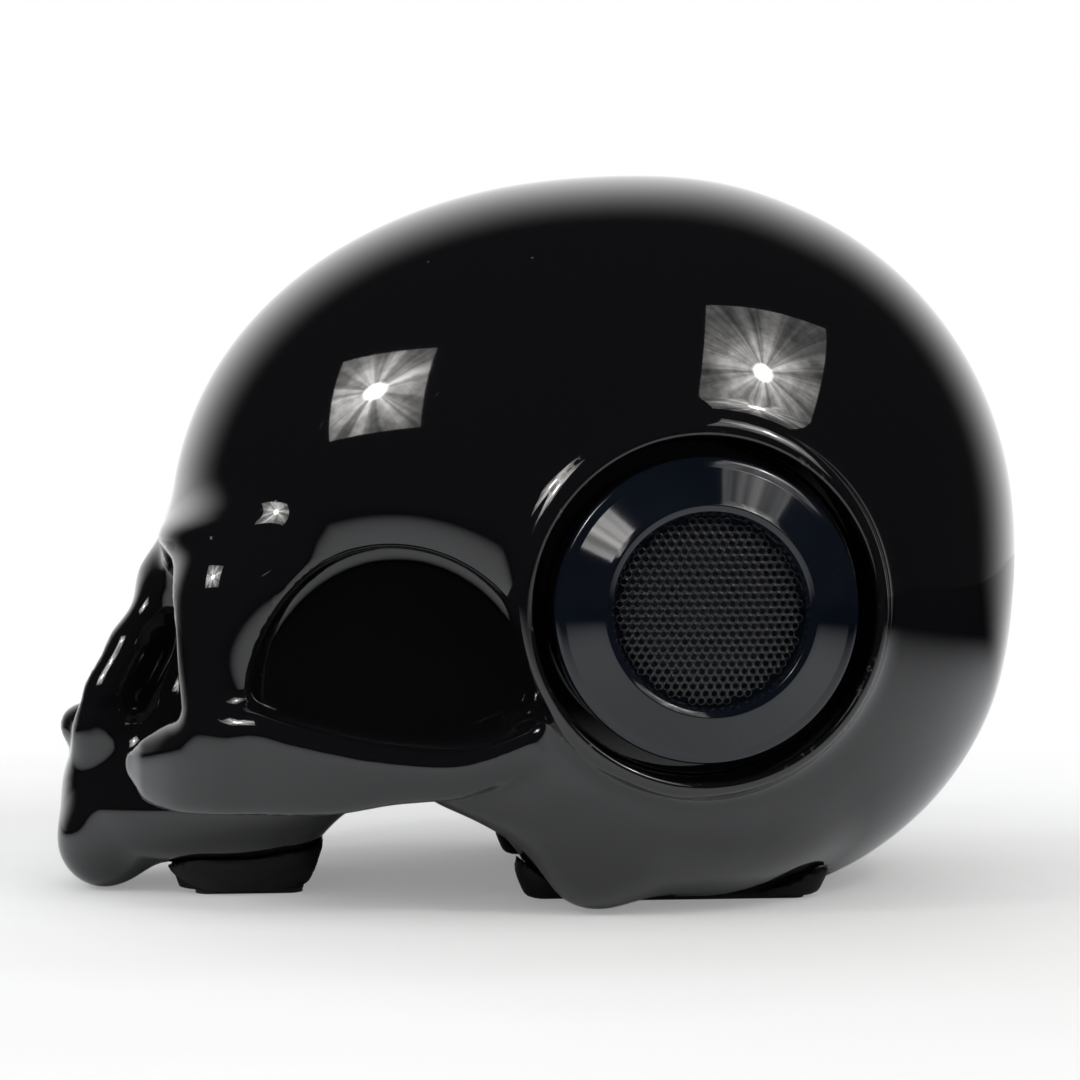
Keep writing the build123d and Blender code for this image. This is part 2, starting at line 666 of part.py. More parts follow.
# ---------------------------------------------------------------- control panel
def rear_panel():
    """Plate with openings for the rocker, the two volume buttons and the two sockets."""
    with BuildPart() as plate:
        with BuildSketch(panel_plane(PANEL_FACE - PANEL_THICK + 0.05)):
            RectangleRounded(PANEL_WIDTH, PANEL_HEIGHT, 4)
            with Locations((ROCKER_X, 0)):
                Rectangle(10.4, 19.4, mode=Mode.SUBTRACT)
            with Locations((BUTTON_X, BUTTON_RISE), (BUTTON_X, -BUTTON_RISE)):
                Circle(BUTTON_RADIUS + 0.2, mode=Mode.SUBTRACT)
            with Locations((AUX_X, 0)):
                Circle(3.1, mode=Mode.SUBTRACT)
            with Locations((DC_X, 0)):
                Circle(4.6, mode=Mode.SUBTRACT)
            with GridLocations(*PANEL_SCREW_GRID, 2, 2):
                Circle(1.5, mode=Mode.SUBTRACT)
        extrude(amount=PANEL_THICK)
        front = plate.edges().filter_by_position(Axis.Y, PANEL_FACE, PANEL_FACE + 0.1)
        chamfer(front.filter_by(GeomType.LINE).filter_by_position(Axis.Z, PANEL_Z + 15, PANEL_Z + 17), 0.5)
    return plate.part


def panel_screws():
    """Four countersunk screws at the panel's corners."""
    with BuildPart() as screws:
        with BuildSketch(panel_plane(PANEL_FACE + 0.1)):
            with GridLocations(*PANEL_SCREW_GRID, 2, 2):
                Circle(2.4)
        extrude(amount=1.2)
        with BuildSketch(panel_plane(PANEL_FACE + 0.1)):
            with GridLocations(*PANEL_SCREW_GRID, 2, 2):
                Circle(1.2)
        extrude(amount=-10)
        with BuildSketch(panel_plane(PANEL_FACE + 1.3)):
            with GridLocations(*PANEL_SCREW_GRID, 2, 2):
                Rectangle(2.6, 0.6)
                Rectangle(0.6, 2.6)
        extrude(amount=-0.7, mode=Mode.SUBTRACT)
    return screws.part


def rocker_frame():
    """Snap-in frame of the power switch."""
    with BuildPart() as frame:
        with BuildSketch(panel_plane(PANEL_FACE + 0.1)):
            with Locations((ROCKER_X, 0)):
                RectangleRounded(13, 22, 1)
                Rectangle(8, 17, mode=Mode.SUBTRACT)
        extrude(amount=1.6)
        with BuildSketch(panel_plane(PANEL_FACE + 0.1)):
            with Locations((ROCKER_X, 0)):
                Rectangle(10, 19)
                Rectangle(8, 17, mode=Mode.SUBTRACT)
        extrude(amount=-8)
        with BuildSketch(panel_plane(PANEL_FACE - 7.9)):
            with Locations((ROCKER_X, 0)):
                Rectangle(10, 19)
        extrude(amount=-1.5)
        with BuildSketch(Plane(origin=(ROCKER_X, PANEL_FACE - ROCKER_PIVOT, PANEL_Z), z_dir=(1, 0, 0))):
            Circle(ROCKER_PIN + 0.05)
        extrude(amount=5, both=True, mode=Mode.SUBTRACT)
    return frame.part


def power_rocker():
    """Rocker cap with its pivot pin, bent in the middle and resting tipped, one half proud."""
    pivot = PANEL_FACE - ROCKER_PIVOT
    with BuildPart() as cap:
        with BuildSketch(Plane(origin=(0, 0, 0), x_dir=(0, 1, 0), z_dir=(1, 0, 0))):
            with BuildLine():
                Polyline((-1.6, -7.4), (4.0, -7.7), (3.2, 0), (4.0, 7.7), (-1.6, 7.4), (-2.6, 0), close=True)
            make_face()
        extrude(amount=3.7, both=True)
        fillet(cap.edges().filter_by(Axis.X).group_by(Axis.Y)[-1], 0.6)
        with BuildSketch(Plane.YZ):
            Circle(ROCKER_PIN)
        extrude(amount=4.8, both=True)
    return cap.part.moved(Location((ROCKER_X, pivot, PANEL_Z), (-ROCKER_TILT, 0, 0)))


def volume_button(rise):
    """Round push button with a retaining collar behind the panel and a stem over its switch."""
    collar, switch_top = PANEL_FACE - PANEL_THICK - 1.3, IO_BOARD_FACE + 7
    with BuildPart() as button:
        with BuildSketch(panel_plane(PANEL_FACE - PANEL_THICK - 0.15)):
            with Locations((BUTTON_X, rise)):
                Circle(BUTTON_RADIUS)
        extrude(amount=PANEL_THICK + 2.0)
        fillet(button.edges().group_by(Axis.Y)[-1], 0.7)
        with BuildSketch(panel_plane(PANEL_FACE - PANEL_THICK - 0.1)):
            with Locations((BUTTON_X, rise)):
                Circle(BUTTON_RADIUS + 1.1)
        extrude(amount=-1.2)
        with BuildSketch(panel_plane(collar)):
            with Locations((BUTTON_X, rise)):
                Circle(1.2)
        extrude(amount=switch_top + BUTTON_TRAVEL + 0.1 - collar)
    return button.part


def aux_socket():
    """3.5 mm audio socket with a threaded collar through the panel."""
    with BuildPart() as socket:
        with BuildSketch(panel_plane(IO_BOARD_FACE + 0.05)):
            with Locations((AUX_X, 0)):
                Rectangle(8.5, 10)
        extrude(amount=PANEL_FACE - PANEL_THICK - IO_BOARD_FACE - 0.1)
        with BuildSketch(panel_plane(PANEL_FACE - PANEL_THICK - 0.1)):
            with Locations((AUX_X, 0)):
                Circle(2.9)
        extrude(amount=PANEL_THICK + 1.6)
        with BuildSketch(panel_plane(PANEL_FACE + 1.5)):
            with Locations((AUX_X, 0)):
                Circle(1.8)
        extrude(amount=-14, mode=Mode.SUBTRACT)
    return socket.part


def aux_nut():
    """Knurled ring nut that clamps the audio socket to the panel."""
    with BuildPart() as nut:
        with BuildSketch(panel_plane(PANEL_FACE + 0.1)):
            with Locations((AUX_X, 0)):
                RegularPolygon(4.4, 12)
                Circle(3.0, mode=Mode.SUBTRACT)
        extrude(amount=1.3)
    return nut.part


def dc_socket():
    """Power inlet: a barrel with a centre pin."""
    with BuildPart() as socket:
        with BuildSketch(panel_plane(IO_BOARD_FACE + 0.05)):
            with Locations((DC_X, 0)):
                Rectangle(9.5, 11)
        extrude(amount=PANEL_FACE - PANEL_THICK - IO_BOARD_FACE - 0.1)
        with BuildSketch(panel_plane(PANEL_FACE - PANEL_THICK - 0.1)):
            with Locations((DC_X, 0)):
                Circle(4.4)
        extrude(amount=PANEL_THICK + 0.6)
        with BuildSketch(panel_plane(PANEL_FACE + 0.5)):
            with Locations((DC_X, 0)):
                Circle(2.9)
        extrude(amount=-11, mode=Mode.SUBTRACT)
        with BuildSketch(panel_plane(PANEL_FACE - 10.6)):
            with Locations((DC_X, 0)):
                Circle(1.0)
        extrude(amount=9.6)
    return socket.part


def io_board():
    """Small circuit board behind the panel, with the two tactile switches."""
    with BuildPart() as board:
        with BuildSketch(panel_plane(IO_BOARD_FACE)):
            with Locations((4, 0)):
                Rectangle(42, 25)
        extrude(amount=-1.6)
        with BuildSketch(panel_plane(IO_BOARD_FACE)):
            with Locations((BUTTON_X, BUTTON_RISE), (BUTTON_X, -BUTTON_RISE)):
                Rectangle(5.5, 5.5)
        extrude(amount=7.0)
    return board.part


# ---------------------------------------------------------------- electronics inside
def amplifier_board():
    """Main circuit board on four pillars over the bridge."""
    with BuildPart() as board:
        with BuildSketch(Plane.XY.offset(BRIDGE_TOP + 5)):
            with Locations((0, -34)):
                Rectangle(56, 46)
        extrude(amount=1.6)
        with BuildSketch(Plane.XY.offset(BRIDGE_TOP + 0.05)):
            with Locations((0, -34)):
                with GridLocations(48, 38, 2, 2):
                    Circle(2.6)
        extrude(amount=5)
        with BuildSketch(Plane.XY.offset(BRIDGE_TOP + 6.6)):
            with Locations((-16, -46), (-16, -28), (17, -50)):
                Rectangle(9, 9)
        extrude(amount=1.2)
    return board.part


def heat_sink():
    """Finned aluminium block on the amplifier chip."""
    base = BRIDGE_TOP + 6.65
    with BuildPart() as sink:
        add(block((-4, -44, base), (24, -24, base + 2)))
        with BuildSketch(Plane.XY.offset(base)):
            with Locations((10, -34)):
                with GridLocations(4, 1, 7, 1):
                    Rectangle(1.2, 20)
        extrude(amount=14)
    return sink.part


def capacitors():
    """Four smoothing capacitors standing on the board."""
    with BuildPart() as cans:
        with BuildSketch(Plane.XY.offset(BRIDGE_TOP + 6.65)):
            with Locations((-22, -16), (-10, -16), (2, -16), (14, -16)):
                Circle(4.5)
        extrude(amount=16)
        fillet(cans.edges().group_by(Axis.Z)[-1], 0.8)
    return cans.part


def cable(*points):
    """A round cable through the given points."""
    with BuildPart() as wire:
        with BuildLine() as path:
            Spline(*points)
        with BuildSketch(Plane(path.line @ 0, z_dir=path.line % 0)):
            Circle(1.3)
        sweep()
    return wire.part


def cables():
    """The four cables: two to the side modules, one to the woofer and one to the control panel."""
    start = BRIDGE_TOP + 8.5
    left = cable((25, -16, start), (34, 0, 58), (44, 26, 78), (54.5, SIDE_Y, SIDE_Z))
    right = cable((-26, -22, start), (-36, 0, 60), (-44, 26, 78), (-54.5, SIDE_Y, SIDE_Z))
    low = cable((8, -14, start + 18), (12, 0, 76), (8, 24, 74), (6, 32, 59))
    back = cable((-8, -14, start + 20), (-14, 20, 86), (-8, 70, 84), (6, 108, PANEL_Z + 2))
    with BuildPart() as bundle:
        add([left, right, low, back])
    return bundle.part


# ---------------------------------------------------------------- build everything
shell = skull_shell()
for name, side in (("left", 1), ("right", -1)):
    save(half(shell, side), f"skull_half_{name}")
    save(bezel(side), f"{name}_bezel")
    save(grille(side), f"{name}_grille")
    save(module_cup(side), f"{name}_module_cup")
    save(module_screws(side), f"{name}_module_screws")
    driver = side_driver(side)
    driver.save_all(name)
    save(driver.make_gasket(), f"{name}_gasket")

woofer().save_all("woofer")
save(woofer().make_gasket(WOOFER_GASKET), "woofer_gasket")
save(woofer_screws(), "woofer_screws")
save(woofer_grille(), "woofer_grille")

save(seam_cylinders(PIN_RADIUS, PIN_HALF_LENGTH), "seam_dowels")
save(chassis(), "chassis")
save(base_screws(), "base_screws")
save(foot_pads(), "foot_pads")

save(rear_panel(), "rear_panel")
save(panel_screws(), "panel_screws")
save(rocker_frame(), "rocker_frame")
save(power_rocker(), "power_rocker")
save(volume_button(BUTTON_RISE), "volume_up_button")
save(volume_button(-BUTTON_RISE), "volume_down_button")
save(aux_socket(), "aux_socket")
save(aux_nut(), "aux_nut")
save(dc_socket(), "dc_socket")
save(io_board(), "io_board")

save(amplifier_board(), "amplifier_board")
save(heat_sink(), "heat_sink")
save(capacitors(), "capacitors")
save(cables(), "cables")
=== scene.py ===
import json
import math

import bmesh
import bpy
import numpy as np
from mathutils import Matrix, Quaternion, Vector


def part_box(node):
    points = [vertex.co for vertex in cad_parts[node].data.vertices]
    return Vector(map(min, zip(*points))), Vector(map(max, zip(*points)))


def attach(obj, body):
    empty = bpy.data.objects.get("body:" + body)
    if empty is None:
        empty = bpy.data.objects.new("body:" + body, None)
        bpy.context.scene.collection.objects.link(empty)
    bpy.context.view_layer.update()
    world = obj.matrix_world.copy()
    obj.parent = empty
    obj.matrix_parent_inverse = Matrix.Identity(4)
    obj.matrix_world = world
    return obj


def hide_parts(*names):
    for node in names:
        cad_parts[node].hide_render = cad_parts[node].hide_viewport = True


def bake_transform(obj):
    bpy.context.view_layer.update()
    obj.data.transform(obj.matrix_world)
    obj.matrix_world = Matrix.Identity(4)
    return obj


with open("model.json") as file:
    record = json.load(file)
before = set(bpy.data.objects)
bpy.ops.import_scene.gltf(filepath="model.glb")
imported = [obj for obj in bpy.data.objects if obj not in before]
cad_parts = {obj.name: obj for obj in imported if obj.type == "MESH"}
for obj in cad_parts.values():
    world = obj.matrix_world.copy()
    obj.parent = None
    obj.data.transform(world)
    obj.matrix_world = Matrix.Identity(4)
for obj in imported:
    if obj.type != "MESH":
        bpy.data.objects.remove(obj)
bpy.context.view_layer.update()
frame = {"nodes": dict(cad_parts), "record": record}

# ---------------------------------------------------------------- the skull as a distance field
# Millimetres. p is an array of points, one per row. Every form below is negative inside.

CELL = 1.8                      # voxel size of the first mesh
WALL = 3.5
SIDE_Y, SIDE_Z = 36.0, 82.0     # axis of the two speaker modules
WELL_RADIUS, WELL_FLOOR, WELL_LIP = 44.5, 69.0, 90.2
COLLAR_RADIUS = 48.0
CUP_HOLE = 31.5
PIT_X, PIT_Y, PIT_Z = 86.0, -42.0, 58.0     # centre of the hollow behind the eye
PIT_RIM_Y, PIT_RIM_Z = 37.5, 39.5           # half width and half height of its rim
PIT_FLOOR = 35.0
PANEL_Z, PANEL_HALF_WIDTH, PANEL_HALF_HEIGHT = 70.0, 30.2, 16.2
SEAM = 1e-4                     # a point is on the middle plane if its x is smaller than this


def row(*values):
    return np.array(values, dtype=float)


def smin(a, b, k):
    """Union with a blend about k wide."""
    h = np.maximum(k - np.abs(a - b), 0.0) / k
    return np.minimum(a, b) - h * h * k * 0.25


def smax(a, b, k):
    return -smin(-a, -b, k)


def carve(solid, tool, k):
    """Subtraction with an edge rounded by about k."""
    return smax(solid, -tool, k)


def turned(p, centre, pitch=0.0, yaw=0.0, roll=0.0):
    """Points in the axes of a form turned by yaw about Z, pitch about X and roll about Y, in degrees."""
    q = p - row(*centre)
    for angle, (i, j) in ((yaw, (0, 1)), (pitch, (1, 2)), (roll, (2, 0))):
        if angle:
            c, s = math.cos(math.radians(angle)), math.sin(math.radians(angle))
            a, b = q[:, i].copy(), q[:, j].copy()
            q[:, i], q[:, j] = c * a + s * b, c * b - s * a
    return q


def egg(p, centre, radii, pitch=0.0, yaw=0.0, roll=0.0):
    """An ellipsoid."""
    q = turned(p, centre, pitch, yaw, roll)
    r = row(*radii)
    near = np.linalg.norm(q / r, axis=1)
    steep = np.linalg.norm(q / (r * r), axis=1)
    return near * (near - 1.0) / np.maximum(steep, 1e-9)


def dish(p, centre, radii, power, lean, undercut):
    """A hollow that is round when seen along X. Its walls spread inwards and its flat back leans."""
    q = p - row(*centre)
    q[:, 1:] /= 1.0 - undercut * q[:, :1]
    q[:, 0] += lean * q[:, 2]
    q /= row(*radii)
    ring = np.hypot(q[:, 1], q[:, 2])
    reach = (ring**power + np.abs(q[:, 0]) ** power) ** (1.0 / power)
    return (reach - 1.0) * min(radii)


def rod(p, a, b, ra, rb):
    """A round-ended rod that tapers from ra to rb."""
    a, b = row(*a), row(*b)
    along = np.clip((p - a) @ (b - a) / ((b - a) @ (b - a)), 0.0, 1.0)
    return np.linalg.norm(p - a - along[:, None] * (b - a), axis=1) - (ra + (rb - ra) * along)


def chain(p, knots, k):
    """Rods through a list of (x, y, z, radius)."""
    d = None
    for (*a, ra), (*b, rb) in zip(knots, knots[1:]):
        piece = rod(p, a, b, ra, rb)
        d = piece if d is None else smin(d, piece, k)
    return d


def superegg(q, radii, power):
    """A superellipsoid, whose power may change from point to point."""
    t = np.abs(q) / radii + 1e-6
    s = (t ** power[:, None]).sum(axis=1)
    g = s ** (1.0 / power)
    slope = (g ** (1.0 - power))[:, None] * t ** (power[:, None] - 1.0) / radii
    return (g - 1.0) / np.maximum(np.linalg.norm(slope, axis=1), 1e-6)


def ramp(x, a, b):
    t = np.clip((x - a) / (b - a), 0.0, 1.0)
    return t * t * (3.0 - 2.0 * t)


def brain_case(p):
    """The dome: longer in front, fuller low at the back, narrower at the temples."""
    q = p - row(0.0, 30.0, 98.0)
    back = ramp(q[:, 1], -45.0, 45.0)
    low = ramp(-q[:, 2], -10.0, 50.0)
    reach = 136.0 + (109.0 - 136.0) * back
    width = 89.5 + 3.5 * ramp(q[:, 1], -90.0, 10.0)
    power = 2.15 - 0.1 * back + 0.24 * back * low
    radii = np.stack([width, reach, np.full(len(q), 106.2)], axis=1)
    return superegg(q, radii, power)


def axial(p, side_y=SIDE_Y, side_z=SIDE_Z):
    """Distance from a module's axis."""
    return np.hypot(p[:, 1] - side_y, p[:, 2] - side_z)


def curve_at(y, knots):
    """A smooth curve through (y, value) knots, flat at both ends."""
    ys, vs = row(*[k[0] for k in knots]), row(*[k[1] for k in knots])
    slopes = np.gradient(vs, ys)
    slopes[[0, -1]] = 0.0
    i = np.clip(np.searchsorted(ys, y) - 1, 0, len(ys) - 2)
    h = ys[i + 1] - ys[i]
    t = np.clip((y - ys[i]) / h, 0.0, 1.0)
    a, b, c, e = 2 * t**3 - 3 * t**2 + 1, t**3 - 2 * t**2 + t, 3 * t**2 - 2 * t**3, t**3 - t**2
    return a * vs[i] + b * h * slopes[i] + c * vs[i + 1] + e * h * slopes[i + 1]


# The cheek bar is a tilted rounded box swept along y.
# Each row: y, centre x, centre z, half thickness, half height, tilt in degrees.
CHEEK_BAR = (
    (-116, 36.0, 39.5, 8.0, 6.0, 8),
    (-110, 43.0, 39.0, 10.0, 9.5, 10),
    (-103, 51.0, 40.0, 11.0, 12.0, 13),
    (-92, 60.0, 41.8, 10.5, 14.2, 17),
    (-80, 66.0, 42.5, 9.0, 14.8, 20),
    (-70, 70.0, 41.0, 8.0, 13.2, 22),
    (-43, 76.0, 39.3, 7.0, 9.0, 24),
    (-25, 77.5, 40.5, 6.5, 6.8, 22),
    (-8, 78.0, 47.0, 6.0, 5.5, 14),
    (2, 77.0, 52.0, 6.0, 5.0, 5),
)


def cheek_bar(m):
    """The bar from the cheekbone back to the ear. Its top edge stands out and its face leans down."""
    y = m[:, 1]
    x, z, thick, tall, tilt = (curve_at(y, [(k[0], k[i]) for k in CHEEK_BAR]) for i in range(1, 6))
    c, s = np.cos(np.radians(tilt)), np.sin(np.radians(tilt))
    u, v = m[:, 0] - x, m[:, 2] - z
    section = np.stack([c * u - s * v, s * u + c * v], axis=1)
    d = superegg(section, np.stack([thick, tall], axis=1), np.full(len(y), 3.2))
    return smax(d, np.maximum(-116.0 - y, y - 3.0), 6)


def skin(p):
    """The lacquered outside, before the openings for the modules, the base and the panel."""
    m = p.copy()
    m[:, 0] = np.abs(m[:, 0])
    d = brain_case(p)
    # the mass of the face and the upper jaw
    d = smin(d, egg(p, (0, -58, 69), (65, 46, 42)), 14)
    d = smin(d, egg(p, (0, -92, 46), (34, 32, 29)), 14)
    maxilla = smin(egg(p, (0, -86, 25), (40, 49.5, 21)), egg(p, (0, -94, 16), (31, 41, 15)), 10)
    maxilla = smax(smin(maxilla, egg(p, (0, -115, 32), (16, 20, 15)), 8), 7.5 - p[:, 2], 9)
    d = smin(d, maxilla, 11)
    # brow and the outer rim of the socket
    d = smin(d, egg(m, (26, -82, 100), (33, 24, 9), yaw=-14), 11)
    d = smin(d, egg(m, (33, -71, 78), (37, 36, 34)), 10)
    d = smin(d, rod(m, (55, -87, 82), (60.5, -88, 54), 12.5, 11.5), 12)
    # hollow behind the eye
    pit = dish(m, (PIT_X, PIT_Y, PIT_Z), (38, 35.8, 37.7), power=9.0, lean=0.2, undercut=0.0035)
    pit = smax(pit, PIT_FLOOR - m[:, 2], 8)
    d = smax(d, 0.83 * d - 0.56 * pit + 2.6, 5)
    d = carve(d, pit, 2.5)
    # filling between the bar's rear end and the base
    d = smin(d, egg(m, (65, -10, 36), (12, 24, 17)), 14)
    d = smin(d, cheek_bar(m), 4)
    # eye socket, nose
    d = carve(d, egg(m, (33, -116, 70), (25, 34, 26), yaw=-10, roll=8), 6)
    d = smin(d, chain(p, ((0, -97, 99, 8.5), (0, -106, 87, 7.5), (0, -109, 76, 7)), 8), 9)
    ridge = ((8, -109, 82, 4), (12, -116, 68, 5), (14.5, -122, 56, 5.5), (13, -124, 45, 6), (10, -124, 34, 7))
    d = smin(d, chain(m, ridge, 10), 9)
    nose = smin(egg(m, (6, -128, 64), (7, 14, 12), roll=-14), egg(m, (8, -128, 56), (7, 12, 7.5)), 4)
    d = carve(d, nose, 4)
    d = smin(d, egg(p, (0, -130, 45.5), (7, 7.5, 6.5)), 5)
    # the one pair of teeth, drawn out as soft lobes
    d = smin(d, egg(m, (10, -124, 11.5), (10.5, 11.5, 11)), 10)
    # mastoid and the base behind it
    d = smin(d, egg(m, (63, 12, 25), (15, 19, 24), pitch=-10), 12)
    d = smin(d, egg(m, (54, 38, 26), (26, 34, 20)), 14)
    # fullness under the collar, so that the side leans down all the way from it
    d = smin(d, egg(m, (68.5, -3, 40), (10.5, 15, 13)), 9)
    d = smin(d, egg(m, (72, 3, 44), (12, 11, 12)), 8)
    fillet = ((70, -3, 33, 7.5), (73, 8, 35, 8.5), (73.5, 26, 31, 8.5), (70, 42, 28, 7.5))
    d = smin(d, chain(m, fillet, 8), 9)
    # flared collar round the module
    collar = smax(axial(p) - COLLAR_RADIUS, m[:, 0] - WELL_LIP, 3.0)
    collar = smax(collar, 60.0 - m[:, 0], 2)
    d = smin(d, collar, 7)
    # arch under the skull
    along = p[:, 1] + 39
    arch = (np.hypot(along / np.where(along > 0, 35.0, 28.5), (p[:, 2] + 3) / 32.0) - 1.0) * 30.0
    d = carve(d, arch, 7)
    return d


def rounded_box(p, centre, half, radius):
    q = np.abs(p - row(*centre)) - row(*half) + radius
    outside = np.linalg.norm(np.maximum(q, 0.0), axis=1)
    return outside + np.minimum(q.max(axis=1), 0.0) - radius


def shell(p):
    """The finished shell: skin, hollow inside, and its openings."""
    m = p.copy()
    m[:, 0] = np.abs(m[:, 0])
    d = skin(p)
    off_axis = axial(p)
    # walls stay round the wells and the panel
    tube = smax(off_axis - WELL_RADIUS - 3.0, WELL_FLOOR - 3.0 - m[:, 0], 0.5)
    hollow = smax(smax(d, brain_case(p), 1.0) + WALL, -tube, 1.0)
    hollow = smax(hollow, -rounded_box(p, (0, 123, PANEL_Z), (33.5, 17, 19.5), 5), 1.0)
    d = np.maximum(d, -hollow)
    # wells, and the holes in their floors for the module cups
    d = smax(d, -smax(off_axis - WELL_RADIUS, WELL_FLOOR - m[:, 0], 0.5), 1.6)
    d = np.maximum(d, -np.maximum(off_axis - CUP_HOLE, 50.0 - m[:, 0]))
    # openings for the chassis deck, its rear legs, its front leg and its spine
    base = rounded_box(p, (0, 35.5, 0), (50.5, 44.0, 17.1), 16)
    base = np.minimum(base, rounded_box(m, (40.5, 34, 0), (7, 42.5, 17.1), 6.5))
    base = np.minimum(base, rounded_box(p, (0, -83.5, 10), (24.5, 22, 25), 4))
    base = np.minimum(base, rounded_box(p, (0, -34, 30), (43.5, 31.5, 5), 1))
    d = smax(d, -base, 1.0)
    # seat of the rear panel, and the window behind it
    seat = (PANEL_HALF_WIDTH, 16, PANEL_HALF_HEIGHT)
    d = smax(d, -rounded_box(p, (0, 140, PANEL_Z), seat, 4.2), 1.0)
    d = np.maximum(d, -rounded_box(p, (0, 120, PANEL_Z), (27, 18, 13), 1.5))
    return d


FOOT_BASE = 0.9                 # the mouldings stop here, and the rubber pads reach the table


def feet(p):
    """Matte mouldings round the chassis legs. They follow the skull's underside with a fine gap."""
    m = p.copy()
    m[:, 0] = np.abs(m[:, 0])
    z = p[:, 2]
    spread = 5.0 * ramp(z, 0.0, 9.0)
    front = plan_box(p, (0, -84.0), np.stack([27.5 + spread, 17.0 + spread], axis=1), 12)
    front = np.maximum(front, p[:, 1] + 67.0 - 0.36 * z)
    rear = plan_box(m, (41.0, 34.0), np.stack([7.0 + 0.4 * spread, 41.0 + 0.5 * spread], axis=1), 6.5)
    rear = np.maximum(rear, -7.0 - 0.5 * z - p[:, 1])
    d = np.minimum(smax(front, z - 24.0, 2), smax(rear, z - 15.0, 2))
    d = smax(d, FOOT_BASE - z, 2.5)
    return smax(d, 0.5 - skin(p), 0.8)


def plan_box(p, centre, half, radius):
    """A prism along Z with a rounded rectangle for its plan."""
    q = np.abs(p[:, :2] - row(*centre)) - half + radius
    return np.linalg.norm(np.maximum(q, 0.0), axis=1) + np.minimum(q.max(axis=1), 0.0) - radius


# ---------------------------------------------------------------- meshing a distance field
def slope(field, p, step=0.05):
    """Gradient by four samples at the corners of a small tetrahedron."""
    g = np.zeros_like(p)
    for corner in ((1, -1, -1), (-1, -1, 1), (-1, 1, -1), (1, 1, 1)):
        c = row(*corner)
        g += c * field(p + c * step)[:, None]
    return g / (4.0 * step)


def settle(field, p, rounds, limit):
    """Moves points onto the surface, at most limit at each round."""
    for _ in range(rounds):
        d = field(p)
        g = slope(field, p)
        push = -(d / np.maximum((g * g).sum(axis=1), 0.05))[:, None] * g
        length = np.linalg.norm(push, axis=1, keepdims=True)
        p = p + push * np.minimum(1.0, limit / np.maximum(length, 1e-9))
    return p


def surface_nets(field, low, high, cell):
    """Naive surface nets: vertices and quads of the zero surface inside a box."""
    size = np.ceil((row(*high) - row(*low)) / cell).astype(int) + 1
    axes = [low[i] + cell * np.arange(size[i]) for i in range(3)]
    values = np.empty(size)
    yz = np.stack(np.meshgrid(axes[1], axes[2], indexing="ij"), axis=-1).reshape(-1, 2)
    for i, x in enumerate(axes[0]):
        plane = np.column_stack([np.full(len(yz), x), yz])
        values[i] = field(plane).reshape(size[1], size[2])
    inside = values < 0
    corners = [(a, b, c) for a in (0, 1) for b in (0, 1) for c in (0, 1)]
    span = size - 1
    count = sum(inside[a:a + span[0], b:b + span[1], c:c + span[2]].astype(np.int8) for a, b, c in corners)
    cells = np.argwhere((count > 0) & (count < 8))
    number = np.full(span, -1)
    number[tuple(cells.T)] = np.arange(len(cells))
    total, hits = np.zeros((len(cells), 3)), np.zeros(len(cells))
    for i, a in enumerate(corners):
        for b in corners[i + 1:]:
            if sum(abs(u - v) for u, v in zip(a, b)) != 1:
                continue
            va, vb = values[tuple((cells + a).T)], values[tuple((cells + b).T)]
            cut = (va < 0) != (vb < 0)
            t = np.where(cut, va / np.where(cut, va - vb, 1.0), 0.0)
            total += cut[:, None] * (row(*a) + t[:, None] * (row(*b) - row(*a)))
            hits += cut
    points = row(*low) + (cells + total / hits[:, None]) * cell
    quads = []
    for axis in range(3):
        u, v = (axis + 1) % 3, (axis + 2) % 3
        step = [0, 0, 0]
        step[axis] = 1
        here = inside[tuple(slice(0, size[i] - step[i]) for i in range(3))]
        there = inside[tuple(slice(step[i], size[i]) for i in range(3))]
        edges = np.argwhere(here != there)
        within = (edges[:, u] > 0) & (edges[:, v] > 0) & (edges[:, u] < span[u]) & (edges[:, v] < span[v])
        edges = edges[within]
        ring = []
        for du, dv in ((1, 1), (0, 1), (0, 0), (1, 0)):
            shift = [0, 0, 0]
            shift[u], shift[v] = du, dv
            ring.append(number[tuple((edges - shift).T)])
        ring = np.stack(ring, axis=1)
        outward = here[tuple(edges.T)]
        ring[~outward] = ring[~outward][:, ::-1]
        quads.append(ring)
    return points, np.concatenate(quads)


